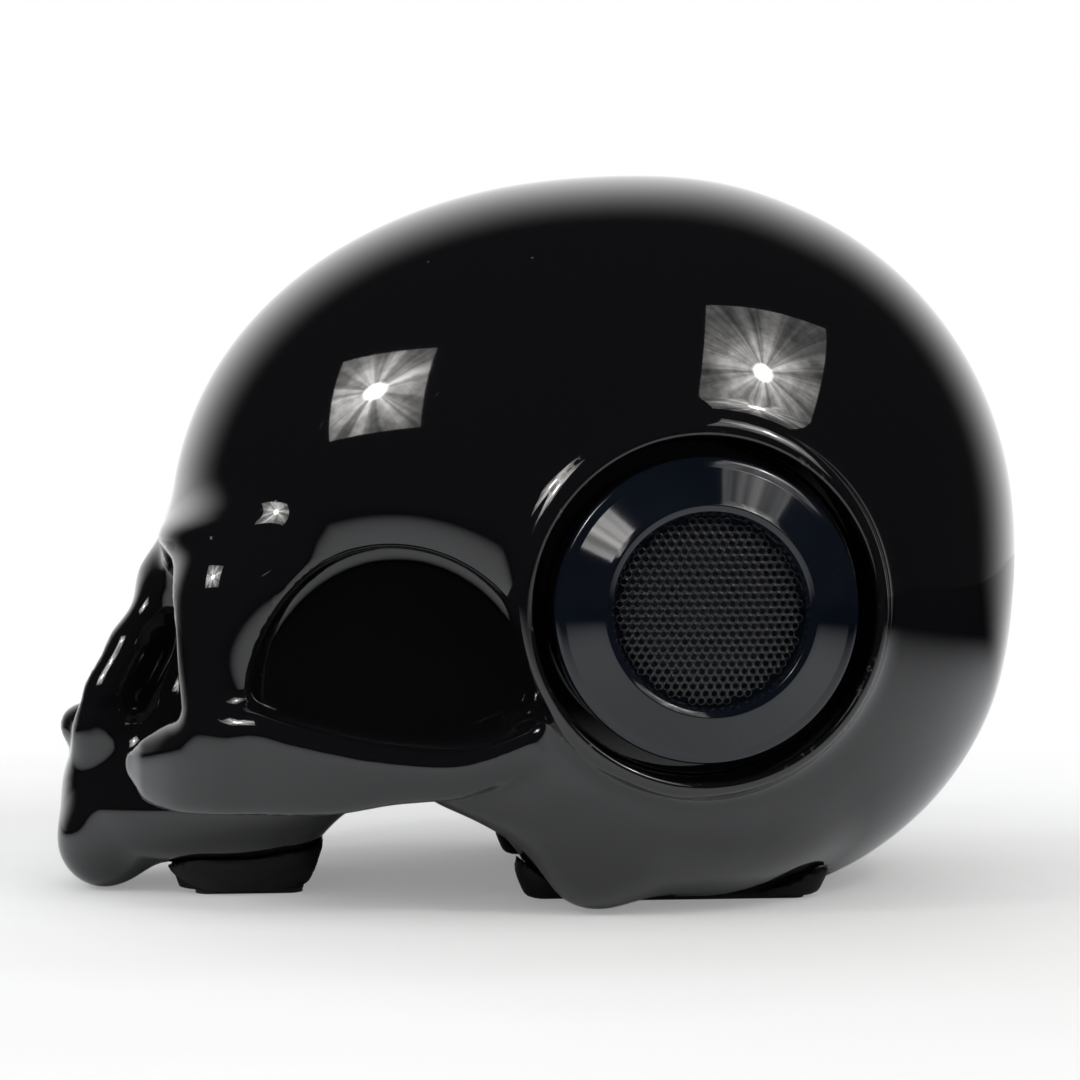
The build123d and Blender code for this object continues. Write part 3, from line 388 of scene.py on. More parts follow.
def refine(field, points, triangles, wanted, limit):
    """Splits the edges that wanted(points) marks at both ends, and settles the new points."""
    edges = np.concatenate([triangles[:, pair] for pair in ([0, 1], [1, 2], [2, 0])])
    edges = np.sort(edges, axis=1)
    edges, index = np.unique(edges, axis=0, return_inverse=True)
    index = index.reshape(3, -1).T
    mark = wanted(points)
    chosen = mark[edges[:, 0]] & mark[edges[:, 1]]
    middle = np.full(len(edges), -1)
    middle[chosen] = len(points) + np.arange(chosen.sum())
    fresh = settle(field, points[edges[chosen]].mean(axis=1), 2, limit)
    points = np.concatenate([points, fresh])
    mids = middle[index]
    made = []
    state = (mids >= 0).sum(axis=1)
    made.append(triangles[state == 0])
    t, m = triangles[state == 3], mids[state == 3]
    made += [np.column_stack((t[:, 0], m[:, 0], m[:, 2])), np.column_stack((m[:, 0], t[:, 1], m[:, 1]))]
    made += [np.column_stack((m[:, 2], m[:, 1], t[:, 2])), m]
    for k in range(3):
        a, b, c = k, (k + 1) % 3, (k + 2) % 3
        one = (state == 1) & (mids[:, a] >= 0)
        t, m = triangles[one], mids[one]
        made += [np.column_stack((t[:, a], m[:, a], t[:, c])), np.column_stack((m[:, a], t[:, b], t[:, c]))]
        two = (state == 2) & (mids[:, a] < 0)
        t, m = triangles[two], mids[two]
        made += [np.column_stack((t[:, a], t[:, b], m[:, b])), np.column_stack((t[:, a], m[:, b], m[:, c])),
                 np.column_stack((m[:, c], m[:, b], t[:, c]))]
    return points, np.concatenate(made)


def near_edges(p):
    """Where the shell has crisp edges that need a finer mesh."""
    off_axis = axial(p)
    x = np.abs(p[:, 0])
    lip = (np.abs(off_axis - WELL_RADIUS) < 7) & (x > 64)
    rise = np.abs(p[:, 2] - PANEL_Z)
    panel = (np.abs(x - 30) < 3.5) | (np.abs(rise - 16) < 3.5)
    panel &= (x < 34) & (rise < 20) & (p[:, 1] > 120)
    ring = np.hypot((p[:, 1] - PIT_Y) / PIT_RIM_Y, (p[:, 2] - PIT_Z) / PIT_RIM_Z)
    pit_edge = (np.abs(ring - 1.0) < 0.09) & (x > 56) & (p[:, 2] > 44)
    return lip | panel | pit_edge


def build_half():
    """The half with positive x: points, triangles, and which triangles cap its cut on x = 0."""
    low, high = (-2 * CELL - CELL / 2, -143.0, -3.0), (96.0, 143.0, 209.0)
    points, quads = surface_nets(shell, low, high, CELL)
    points = settle(shell, points, 3, CELL * 0.6)
    triangles = split_quads(points, quads)
    for limit in (0.6, 0.3):
        points, triangles = refine(shell, points, triangles, near_edges, limit)
    points[np.abs(points[:, 0]) < CELL / 6, 0] = 0.0
    mesh = bmesh.new()
    verts = [mesh.verts.new(v) for v in points]
    for t in triangles:
        mesh.faces.new([verts[i] for i in t])
    geometry = mesh.verts[:] + mesh.edges[:] + mesh.faces[:]
    bmesh.ops.bisect_plane(mesh, geom=geometry, plane_co=(0, 0, 0), plane_no=(1, 0, 0), clear_inner=True)
    bmesh.ops.remove_doubles(mesh, verts=[v for v in mesh.verts if abs(v.co.x) < SEAM], dist=0.05)
    rim = [e for e in mesh.edges if e.is_boundary and max(abs(v.co.x) for v in e.verts) < SEAM]
    cap = bmesh.ops.triangle_fill(mesh, use_beauty=True, edges=rim)
    for f in cap["geom"]:
        if isinstance(f, bmesh.types.BMFace):
            f.normal_update()
            if f.normal.x > 0:
                f.normal_flip()
    bmesh.ops.triangulate(mesh, faces=[f for f in mesh.faces if len(f.verts) > 3])
    mesh.verts.index_update()
    points = np.array([v.co[:] for v in mesh.verts])
    triangles = np.array([[v.index for v in f.verts] for f in mesh.faces])
    flat = (np.abs(points[triangles][:, :, 0]) < SEAM).all(axis=1)
    mesh.free()
    return points, triangles, flat


def object_from(name, points, triangles, corner_normals=None):
    """A mesh object from arrays in metres, smooth shaded."""
    mesh = bpy.data.meshes.new(name)
    mesh.vertices.add(len(points))
    mesh.vertices.foreach_set("co", np.asarray(points, dtype=np.float32).ravel())
    mesh.loops.add(triangles.size)
    mesh.loops.foreach_set("vertex_index", triangles.ravel().astype(np.int32))
    mesh.polygons.add(len(triangles))
    mesh.polygons.foreach_set("loop_start", np.arange(0, triangles.size, 3, dtype=np.int32))
    mesh.update(calc_edges=True)
    mesh.validate()
    mesh.polygons.foreach_set("use_smooth", np.ones(len(mesh.polygons), dtype=bool))
    if corner_normals is not None:
        mesh.normals_split_custom_set(corner_normals)
    obj = bpy.data.objects.new(name, mesh)
    bpy.context.scene.collection.objects.link(obj)
    return obj


def skull_halves():
    points, triangles, flat = build_half()
    normals = slope(shell, points, 0.12)
    normals /= np.maximum(np.linalg.norm(normals, axis=1, keepdims=True), 1e-9)
    on_seam = np.abs(points[:, 0]) < SEAM
    normals[on_seam, 0] = 0.0
    normals[on_seam] /= np.maximum(np.linalg.norm(normals[on_seam], axis=1, keepdims=True), 1e-9)
    halves = []
    for name, side in (("skull_shell_left", 1.0), ("skull_shell_right", -1.0)):
        flip = row(side, 1.0, 1.0)
        faces = triangles if side > 0 else triangles[:, ::-1]
        corners = (normals * flip)[faces.ravel()]
        corners[np.repeat(flat, 3)] = row(-side, 0.0, 0.0)
        halves.append(object_from(name, points * flip * 0.001, faces, corners))
    return halves


def split_quads(points, quads):
    """Two triangles for each quad, cut along its shorter diagonal."""
    a, b, c, d = quads.T
    short = np.linalg.norm(points[a] - points[c], axis=1) < np.linalg.norm(points[b] - points[d], axis=1)
    first = np.where(short[:, None], np.column_stack((a, b, c)), np.column_stack((a, b, d)))
    second = np.where(short[:, None], np.column_stack((a, c, d)), np.column_stack((b, c, d)))
    return np.concatenate([first, second])


def unit(v):
    return v / np.maximum(np.linalg.norm(v, axis=1, keepdims=True), 1e-9)


def foot_mouldings():
    points, quads = surface_nets(feet, (-56.0, -114.0, -2.5), (56.0, 86.0, 27.0), 1.6)
    points = settle(feet, points, 3, 0.9)
    triangles = split_quads(points, quads)
    normals = unit(slope(feet, points, 0.15))
    return object_from("foot_mouldings", points * 0.001, triangles, normals[triangles.ravel()])


GRILLE_RADIUS, GRILLE_RIM, GRILLE_RISE, GRILLE_THICK = 24.2, 95.1, 2.6, 0.8
HOLE_PITCH = 2.2
# Half section of one perforation: radius and depth below the sheet, from the open hole outwards.
HOLE_SECTION = ((0.70, 0.80), (0.70, 0.22), (0.76, 0.08), (0.86, 0.0), (0.95, 0.05), (1.0, 0.14))


def grille_cell():
    """One perforation as (x, y, depth) points and quads: rings from the hole's wall out to a hexagon."""
    sides = 24
    turns = np.arange(sides) * math.tau / sides
    circle = np.column_stack([np.cos(turns), np.sin(turns)])
    rings = [np.column_stack([r * circle, np.full(sides, h)]) for r, h in HOLE_SECTION]
    sector = (turns + math.pi / 6) % (math.pi / 3) - math.pi / 6
    reach = HOLE_PITCH / 2 / np.cos(sector)
    rings.append(np.column_stack([reach * np.cos(turns), reach * np.sin(turns), np.full(sides, 0.16)]))
    rings.append(rings[-1] + row(0, 0, GRILLE_THICK - 0.16))
    rings.append(rings[0] * row(1, 1, 0) + row(0, 0, GRILLE_THICK))
    quads = []
    for k in (0, 1, 2, 3, 4, 5, 7):
        for i in range(sides):
            j = (i + 1) % sides
            quads.append((k * sides + i, k * sides + j, (k + 1) * sides + j, (k + 1) * sides + i))
    return np.concatenate(rings), np.array(quads)


def grille_sheet(name, side):
    """A domed disc of embossed perforations, cut off by the bezel's rim."""
    cell, quads = grille_cell()
    rows = int(GRILLE_RADIUS / (HOLE_PITCH * math.sqrt(3) / 2)) + 1
    centres = []
    for j in range(-rows, rows + 1):
        shift = 0.5 * HOLE_PITCH * (j % 2)
        for i in range(-rows - 1, rows + 2):
            spot = (i * HOLE_PITCH + shift, j * HOLE_PITCH * math.sqrt(3) / 2)
            if math.hypot(*spot) < GRILLE_RADIUS - 0.9:
                centres.append(spot)
    points = np.concatenate([cell + row(*c, 0.0) for c in centres])
    faces = np.concatenate([quads + k * len(cell) for k in range(len(centres))])
    radius = np.hypot(points[:, 0], points[:, 1])
    ball = (GRILLE_RADIUS**2 + GRILLE_RISE**2) / (2 * GRILLE_RISE)
    crown = np.sqrt(ball**2 - radius**2) - (ball - GRILLE_RISE)
    out = GRILLE_RIM + crown - points[:, 2]
    placed = np.column_stack([side * out, SIDE_Y + points[:, 0], SIDE_Z + points[:, 1]]) * 0.001
    a, b, c, d = faces.T
    triangles = np.concatenate([np.column_stack((a, b, c)), np.column_stack((a, c, d))])
    if side < 0:
        triangles = triangles[:, ::-1]
    sheet = object_from(name, placed, triangles)
    mesh = bmesh.new()
    mesh.from_mesh(sheet.data)
    bmesh.ops.remove_doubles(mesh, verts=mesh.verts, dist=1e-6)
    bmesh.ops.recalc_face_normals(mesh, faces=mesh.faces)
    mesh.to_mesh(sheet.data)
    mesh.free()
    return sheet


# Section of a bezel: (radius, distance from the mid plane), and the radius of the fillet at each corner.
BEZEL_SECTION = (
    ((37.0, 71.7), 0.2), ((39.4, 71.7), 0.3), ((39.4, 92.2), 1.8), ((36.6, 92.9), 0.6), ((28.4, 98.5), 0.9),
    ((27.0, 99.4), 0.7), ((25.4, 98.7), 0.6), ((24.5, 96.4), 0.4), ((24.5, 94.2), 0.1), ((22.8, 94.2), 0.1),
    ((22.8, 92.8), 0.1), ((26.0, 92.8), 0.2), ((26.0, 88.6), 0.2), ((28.0, 88.6), 0.2), ((28.0, 95.6), 0.4),
    ((35.6, 90.2), 0.4), ((37.0, 88.6), 0.4),
)


def filleted(section, steps=6):
    """A closed outline with every corner rounded."""
    points = []
    for i, (corner, radius) in enumerate(section):
        corner = row(*corner)
        to_last, to_next = (row(*section[(i + k) % len(section)][0]) - corner for k in (-1, 1))
        a, b = to_last / np.linalg.norm(to_last), to_next / np.linalg.norm(to_next)
        half = math.acos(np.clip(a @ b, -1, 1)) / 2
        setback = radius / math.tan(half)
        centre = corner + (a + b) / np.linalg.norm(a + b) * radius / math.sin(half)
        start, end = corner + a * setback - centre, corner + b * setback - centre
        sweep = math.pi - 2 * half
        for t in np.linspace(0, 1, steps):
            arm = math.sin((1 - t) * sweep) * start + math.sin(t * sweep) * end
            points.append(centre + arm / math.sin(sweep))
    return np.array(points)


def lathe(name, outline, centre, forward, sides):
    """A closed outline of (radius, distance along forward), turned about an axis through the centre."""
    forward = Vector(forward)
    across, up = (row(0, 1, 0), row(0, 0, 1)) if forward.x else (row(1, 0, 0), row(0, 1, 0))
    turns = (np.arange(sides) * math.tau / sides)[:, None, None]
    radius, out = outline[None, :, :1], outline[None, :, 1:]
    points = row(*centre) + out * row(*forward) + radius * (np.cos(turns) * across + np.sin(turns) * up)
    i, j = np.meshgrid(np.arange(sides), np.arange(len(outline)), indexing="ij")
    ni, nj, n = (i + 1) % sides, (j + 1) % len(outline), len(outline)
    a, b, c, d = ((u * n + v).ravel() for u, v in ((i, j), (ni, j), (ni, nj), (i, nj)))
    triangles = np.concatenate([np.column_stack((a, b, c)), np.column_stack((a, c, d))])
    turned_piece = object_from(name, points.reshape(-1, 3) * 0.001, triangles)
    mesh = bmesh.new()
    mesh.from_mesh(turned_piece.data)
    bmesh.ops.recalc_face_normals(mesh, faces=mesh.faces)
    mesh.to_mesh(turned_piece.data)
    mesh.free()
    turned_piece.data.set_sharp_from_angle(angle=math.radians(35))
    return turned_piece


def roll_half(cone, rim, lip, inner):
    """Half of a surround's roll: from the crest down to the lip, on the cone's side or on the frame's."""
    middle, rise, skin = (cone + rim) / 2, (rim - cone) / 2, 0.25
    foot = math.asin(2 * skin / (rise + skin))
    outline = [(cone - lip, 0.0)]
    for radius, start, end in ((rise - skin, 0, math.pi / 2), (rise + skin, math.pi / 2, foot)):
        outline += [(middle - radius * math.cos(t), radius * math.sin(t)) for t in np.linspace(start, end, 9)]
    outline = np.array(outline + [(cone - lip, 2 * skin)])
    if not inner:
        outline[:, 0] = 2 * middle - outline[:, 0]
    return outline


def spider_section(neck, edge, waves=8, skin=0.4):
    """A corrugated cup. neck and edge are its inner and outer (radius, level)."""
    t = np.linspace(0, 1, waves * 8 + 1)
    ripple = 0.28 * np.sin(t * waves * math.tau) * np.minimum(1, 5 * np.minimum(t, 1 - t))
    top = row(*neck) + t[:, None] * (row(*edge) - row(*neck))
    top[:, 1] += ripple
    return np.concatenate([top, (top - row(0, skin))[::-1]])


# Driver, direction it faces, cone radius, roll's outer radius, spider's inner and outer (radius, level).
# Levels are measured along that direction, from the face of the driver's flange.
DRIVERS = (
    ("left", (1, 0, 0), 19.5, 23.5, (8.35, -10.3), (17.9, -8.2)),
    ("right", (-1, 0, 0), 19.5, 23.5, (8.35, -10.3), (17.9, -8.2)),
    ("woofer", (0, 0, -1), 26.0, 31.5, (11.35, -14.3), (25.7, -12.0)),
)


def suspension(driver, forward, cone, rim, neck, edge):
    """A driver's surround, split into an outer half fixed to the enclosure and an inner half, and its spider;
    the inner half and the spider are not attached to any body.
    """
    low, high = (row(*corner) * 1000 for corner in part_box(driver + "_surround"))
    back = np.where(row(*forward) > 0, low, high)
    centre = np.where(row(*forward) == 0, (low + high) / 2, back)

    def along(level):
        return tuple((centre + row(*forward) * level) * 0.001)

    outer = lathe(driver + "_surround_rim", roll_half(cone, rim, 1.5, False), centre, forward, 96)
    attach(outer, "enclosure")
    inner = lathe(driver + "_surround_roll", roll_half(cone, rim, 1.5, True), centre, forward, 96)
    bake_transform(inner)
    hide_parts(driver + "_surround")
    cloth = lathe(driver + "_spider_cloth", spider_section(neck, edge), centre, forward, 96)
    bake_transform(cloth)
    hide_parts(driver + "_spider")
    return [outer, inner, cloth]


left, right = skull_halves()
MODULE_AXIS = (0, SIDE_Y, SIDE_Z)
bezels = [
    lathe(f"{side}_bezel_ring", filleted(BEZEL_SECTION), MODULE_AXIS, (way, 0, 0), 256)
    for side, way in (("left", 1), ("right", -1))
]
for piece, node in zip(bezels, ("left_bezel", "right_bezel")):
    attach(piece, "enclosure")
    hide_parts(node)
grilles = [grille_sheet("left_grille_sheet", 1), grille_sheet("right_grille_sheet", -1)]
for piece, node in zip(grilles, ("left_grille", "right_grille")):
    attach(piece, "enclosure")
    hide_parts(node)
flexible = [piece for spec in DRIVERS for piece in suspension(*spec)]
feet_piece = foot_mouldings()
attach(feet_piece, "enclosure")
for piece, node in ((left, "skull_half_left"), (right, "skull_half_right")):
    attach(piece, "enclosure")
    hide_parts(node)


# ---------------------------------------------------------------- materials
class Graph:
    """A material's node tree, with short ways to add nodes and join them."""

    def __init__(self, name):
        self.material = bpy.data.materials.new(name)
        self.material.use_nodes = True
        self.tree = self.material.node_tree
        self.tree.nodes.clear()
        self.out = self.tree.nodes.new("ShaderNodeOutputMaterial")
        self.shader = self.add("ShaderNodeBsdfPrincipled")
        self.join(self.shader.outputs[0], self.out.inputs[0])
        self.place = self.add("ShaderNodeTexCoord").outputs["Object"]

    def add(self, kind, inputs=None, **settings):
        node = self.tree.nodes.new(kind)
        for key, value in settings.items():
            setattr(node, key, value)
        for key, value in (inputs or {}).items():
            self.feed(node.inputs[key], value)
        return node

    def feed(self, socket, value):
        if isinstance(value, bpy.types.NodeSocket):
            self.join(value, socket)
        elif isinstance(value, tuple) and len(value) == 3 and len(socket.default_value) == 4:
            socket.default_value = (*value, 1.0)
        else:
            socket.default_value = value

    def join(self, a, b):
        self.tree.links.new(a, b)

    def set(self, **inputs):
        """Inputs of the main shader, with underscores for spaces."""
        for key, value in inputs.items():
            self.feed(self.shader.inputs[key.replace("_", " ")], value)

    def stretch(self, x, y, z):
        """The object's coordinates scaled along each axis."""
        return self.add("ShaderNodeMapping", {"Vector": self.place, "Scale": (x, y, z)}).outputs[0]

    def noise(self, scale, detail=3.0, rough=0.5, where=None):
        where = where or self.place
        inputs = {"Vector": where, "Scale": scale, "Detail": detail, "Roughness": rough}
        return self.add("ShaderNodeTexNoise", inputs).outputs[0]

    def cells(self, scale, feature="F1", where=None):
        inputs = {"Vector": where or self.place, "Scale": scale}
        return self.add("ShaderNodeTexVoronoi", inputs, feature=feature).outputs["Distance"]

    def spread(self, value, low, high, to_low, to_high, smooth=False):
        """Maps value from low..high to to_low..to_high."""
        inputs = {"Value": value, "From Min": low, "From Max": high, "To Min": to_low, "To Max": to_high}
        kind = "SMOOTHSTEP" if smooth else "LINEAR"
        return self.add("ShaderNodeMapRange", inputs, interpolation_type=kind).outputs[0]

    def calc(self, operation, a, b=0.0):
        return self.add("ShaderNodeMath", {0: a, 1: b}, operation=operation).outputs[0]

    def mix(self, amount, a, b):
        """Colour a where amount is 0, b where it is 1."""
        node = self.add("ShaderNodeMix", data_type="RGBA")
        for socket, value in ((node.inputs[0], amount), (node.inputs[6], a), (node.inputs[7], b)):
            self.feed(socket, value)
        return node.outputs[2]

    def bump(self, height, distance, strength=1.0, after=None):
        inputs = {"Height": height, "Distance": distance, "Strength": strength}
        if after:
            inputs["Normal"] = after
        return self.add("ShaderNodeBump", inputs).outputs[0]

    def axis(self, name):
        """One coordinate of the object's space: X, Y or Z."""
        return self.add("ShaderNodeSeparateXYZ", {0: self.place}).outputs[name]


def skull_lacquer(name):
    """Deep black piano lacquer: faint orange peel, wiping haze, dust, hairlines, and a scuffed well lip."""
    g = Graph(name)
    dust = g.spread(g.cells(210.0), 0.028, 0.05, 1.0, 0.0)
    rare = g.spread(g.noise(38.0, 1.0), 0.60, 0.66, 0.0, 1.0)
    dust = g.calc("MULTIPLY", dust, rare)
    hairline = g.spread(g.noise(90.0, 1.0, where=g.stretch(14.0, 0.6, 1.0)), 0.735, 0.75, 0.0, 1.0)
    haze = g.spread(g.noise(16.0, 4.0, 0.6), 0.4, 0.75, 0.0, 1.0, smooth=True)
    y = g.calc("SUBTRACT", g.axis("Y"), SIDE_Y * 0.001)
    z = g.calc("SUBTRACT", g.axis("Z"), SIDE_Z * 0.001)
    off_axis = g.calc("SQRT", g.calc("ADD", g.calc("MULTIPLY", y, y), g.calc("MULTIPLY", z, z)))
    near_lip = g.spread(g.calc("ABSOLUTE", g.calc("SUBTRACT", off_axis, 0.0452)), 0.0002, 0.0011, 1.0, 0.0)
    outer = g.spread(g.calc("ABSOLUTE", g.axis("X")), 0.0865, 0.088, 0.0, 1.0)
    worn = g.spread(g.noise(240.0, 5.0, 0.7), 0.60, 0.68, 0.0, 1.0)
    worn = g.calc("MULTIPLY", g.calc("MULTIPLY", near_lip, outer), worn)
    colour = g.mix(dust, (0.0035, 0.0035, 0.0042), (0.16, 0.155, 0.15))
    colour = g.mix(worn, colour, (0.075, 0.058, 0.042))
    rough = g.spread(haze, 0.0, 1.0, 0.028, 0.065)
    rough = g.calc("ADD", rough, g.calc("MULTIPLY", hairline, 0.10))
    rough = g.calc("ADD", rough, g.calc("MULTIPLY", g.calc("MAXIMUM", dust, worn), 0.45))
    peel = g.bump(g.noise(330.0, 2.0), 0.00001, 0.35)
    g.set(Base_Color=colour, Roughness=rough, IOR=1.52, Normal=g.bump(dust, 0.00008, 0.6, after=peel))
    g.set(Coat_Weight=g.calc("SUBTRACT", 0.55, g.calc("MULTIPLY", worn, 0.55)))
    g.set(Coat_Roughness=0.02, Coat_IOR=1.5)
    return g.material


def bezel_gloss(name):
    """Glossy black moulding with a cool tint, a fine ripple and fine dust."""
    g = Graph(name)
    dust = g.spread(g.cells(420.0), 0.04, 0.07, 1.0, 0.0)
    dust = g.calc("MULTIPLY", dust, g.spread(g.noise(60.0, 1.0), 0.58, 0.66, 0.0, 1.0))
    haze = g.spread(g.noise(45.0, 4.0, 0.6), 0.35, 0.7, 0.0, 1.0)
    colour = g.mix(haze, (0.0022, 0.0034, 0.0062), (0.0035, 0.0052, 0.0090))
    g.set(Base_Color=g.mix(dust, colour, (0.12, 0.12, 0.12)), IOR=1.5)
    g.set(Roughness=g.calc("ADD", g.spread(haze, 0.0, 1.0, 0.07, 0.12), g.calc("MULTIPLY", dust, 0.4)))
    g.set(Normal=g.bump(g.noise(700.0, 2.0), 0.000012, 0.4), Coat_Weight=0.3, Coat_Roughness=0.04)
    return g.material


def coated_metal(name, low, high, rough, grain, bite):
    """Painted sheet metal: an even film with a fine pebble."""
    g = Graph(name)
    patch = g.noise(grain * 0.12, 4.0, 0.6)
    g.set(Base_Color=g.mix(patch, low, high), Metallic=0.0, Specular_IOR_Level=0.6)
    g.set(Roughness=g.spread(patch, 0.3, 0.7, rough - 0.05, rough + 0.07))
    g.set(Normal=g.bump(g.noise(grain, 3.0), bite, 0.6))
    return g.material


def bare_metal(name, low, high, rough, brushed, metallic=1.0):
    """Plated or brushed metal: brushed is how much each axis is stretched."""
    g = Graph(name)
    lines = g.noise(220.0, 4.0, 0.65, where=g.stretch(*brushed))
    stain = g.noise(70.0, 4.0, 0.6)
    g.set(Base_Color=g.mix(g.calc("MULTIPLY", stain, lines), low, high), Metallic=metallic)
    g.set(Roughness=g.spread(lines, 0.3, 0.7, rough - 0.08, rough + 0.10))
    g.set(Normal=g.bump(lines, 0.00002, 0.5))
    return g.material


def moulded(name, low, high, rough, grain, bite, sheen=0.0):
    """Moulded plastic or rubber with a spark-eroded texture and handling marks."""
    g = Graph(name)
    fine = g.cells(grain, feature="SMOOTH_F1")
    rubbed = g.spread(g.noise(28.0, 5.0, 0.65), 0.42, 0.72, 0.0, 1.0)
    g.set(Base_Color=g.mix(rubbed, low, high), Sheen_Weight=sheen, Specular_IOR_Level=0.22)
    g.set(Roughness=g.spread(rubbed, 0.0, 1.0, rough + 0.04, rough - 0.06))
    g.set(Normal=g.bump(fine, bite, 0.5, after=g.bump(g.noise(grain * 0.3, 3.0), bite, 0.4)))
    return g.material


def fibrous(name, low, high, rough, scale, bite):
    """Pressed paper: matted fibres, mottled."""
    g = Graph(name)
    fibres = g.calc("MAXIMUM", g.noise(scale, 4.0, 0.7, where=g.stretch(1.0, 5.0, 1.0)),
                    g.noise(scale, 4.0, 0.7, where=g.stretch(5.0, 1.0, 4.0)))
    g.set(Base_Color=g.mix(g.spread(fibres, 0.45, 0.75, 0.0, 1.0), low, high), Roughness=rough)
    g.set(Normal=g.bump(fibres, bite, 0.7), Sheen_Weight=0.15)
    return g.material


def woven(name, low, high, pitch, rough):
    """Plain-woven cloth set in resin, with threads along two directions."""
    g = Graph(name)
    turn = math.tau / pitch
    warp = g.calc("SINE", g.calc("MULTIPLY", g.axis("Y"), turn))
    weft = g.calc("SINE", g.calc("MULTIPLY", g.calc("ADD", g.axis("Z"), g.axis("X")), turn))
    weave = g.spread(g.calc("MULTIPLY", warp, weft), -1.0, 1.0, 0.0, 1.0)
    stain = g.noise(60.0, 4.0, 0.6)
    g.set(Base_Color=g.mix(g.calc("MULTIPLY", weave, stain), low, high), Roughness=rough)
    g.set(Normal=g.bump(weave, 0.00012, 0.7), Sheen_Weight=0.25)
    return g.material


def winding(name):
    """Enamelled copper wire, wound in close turns, with painted shade in the grooves between the turns."""
    g = Graph(name)
    turns = g.calc("SINE", g.calc("MULTIPLY", g.calc("ADD", g.axis("X"), g.axis("Z")), math.tau / 0.0004))
    turns = g.spread(turns, -1.0, 1.0, 0.0, 1.0)
    # painted shade: the wave that bumps the turns also paints the grooves between them darker and the crests
    # lighter
    g.set(Base_Color=g.mix(turns, (0.30, 0.10, 0.045), (0.74, 0.34, 0.17)), Metallic=1.0)
    g.set(Roughness=g.spread(g.noise(300.0), 0.3, 0.7, 0.22, 0.36), Normal=g.bump(turns, 0.0001, 0.8))
    return g.material


def circuit_board(name):
    """Green solder mask over traces, with plated pads."""
    g = Graph(name)
    lanes = g.add("ShaderNodeTexBrick", {"Vector": g.place, "Scale": 260.0, "Mortar Size": 0.06})
    trace = lanes.outputs["Fac"]
    pads = g.spread(g.cells(310.0), 0.22, 0.25, 1.0, 0.0)
    pads = g.calc("MULTIPLY", pads, g.spread(g.noise(90.0, 1.0), 0.52, 0.56, 0.0, 1.0))
    mask = g.mix(trace, (0.012, 0.085, 0.036), (0.030, 0.17, 0.07))
    g.set(Base_Color=g.mix(pads, mask, (0.72, 0.70, 0.62)), Metallic=pads, Coat_Weight=0.4)
    g.set(Roughness=g.spread(pads, 0.0, 1.0, 0.34, 0.25), Normal=g.bump(trace, 0.00003, 0.5))
    return g.material


def sleeved_can(name):
    """Capacitor: a printed sleeve with a pale polarity band."""
    g = Graph(name)
    band = g.spread(g.calc("SINE", g.calc("MULTIPLY", g.axis("X"), 620.0)), 0.72, 0.78, 0.0, 1.0)
    crinkle = g.noise(180.0, 3.0)
    sleeve = g.mix(crinkle, (0.012, 0.014, 0.045), (0.025, 0.03, 0.08))
    g.set(Base_Color=g.mix(band, sleeve, (0.42, 0.43, 0.46)))
    g.set(Roughness=g.spread(crinkle, 0.3, 0.7, 0.22, 0.34))
    g.set(Normal=g.bump(crinkle, 0.00005, 0.5), Coat_Weight=0.2)
    return g.material


# Slot: its function, then that function's values.
FINISHES = {
    "skull_lacquer": (skull_lacquer,),
    "bezel_gloss": (bezel_gloss,),
    "grille_steel": (coated_metal, (0.004, 0.005, 0.008), (0.008, 0.009, 0.013), 0.22, 900.0, 0.00001),
    "frame_steel": (coated_metal, (0.02, 0.02, 0.022), (0.04, 0.04, 0.043), 0.42, 700.0, 0.00003),
    "moulding": (moulded, (0.0035, 0.0035, 0.004), (0.007, 0.007, 0.008), 0.58, 1500.0, 0.00006),
    "switch_plastic": (moulded, (0.010, 0.010, 0.011), (0.018, 0.018, 0.019), 0.40, 1800.0, 0.00003),
    "button_plastic": (moulded, (0.022, 0.022, 0.024), (0.034, 0.034, 0.036), 0.44, 1600.0, 0.00004),
    "surround_rubber": (moulded, (0.012, 0.012, 0.012), (0.028, 0.027, 0.026), 0.62, 1300.0, 0.00004, 0.2),
    "pad_rubber": (moulded, (0.013, 0.013, 0.013), (0.032, 0.031, 0.030), 0.78, 900.0, 0.00010, 0.3),
    "foam": (moulded, (0.015, 0.015, 0.016), (0.035, 0.035, 0.036), 0.88, 1100.0, 0.00025, 0.3),
    "cable": (moulded, (0.010, 0.010, 0.010), (0.022, 0.022, 0.022), 0.46, 700.0, 0.00003),
    "ferrite": (moulded, (0.028, 0.028, 0.031), (0.055, 0.055, 0.060), 0.68, 800.0, 0.00008),
    "screw_steel": (bare_metal, (0.035, 0.035, 0.038), (0.16, 0.16, 0.17), 0.36, (1.0, 1.0, 4.0)),
    "magnet_steel": (bare_metal, (0.40, 0.40, 0.41), (0.62, 0.62, 0.63), 0.32, (1.0, 3.0, 3.0)),
    "nut_plated": (bare_metal, (0.58, 0.57, 0.55), (0.80, 0.79, 0.77), 0.20, (1.0, 6.0, 1.0)),
    "heat_sink": (bare_metal, (0.42, 0.42, 0.44), (0.66, 0.66, 0.68), 0.40, (0.3, 8.0, 8.0)),
    "cone_paper": (fibrous, (0.020, 0.020, 0.021), (0.065, 0.064, 0.062), 0.72, 420.0, 0.00008),
    "cap_paper": (fibrous, (0.018, 0.018, 0.020), (0.050, 0.050, 0.054), 0.58, 600.0, 0.00005),
    "spider_cloth": (woven, (0.34, 0.22, 0.09), (0.66, 0.50, 0.27), 0.0009, 0.78),
    "coil_copper": (winding,),
    "board": (circuit_board,),
    "capacitor": (sleeved_can,),
}


def paint(obj, material):
    obj.data.materials.clear()
    obj.data.materials.append(material)


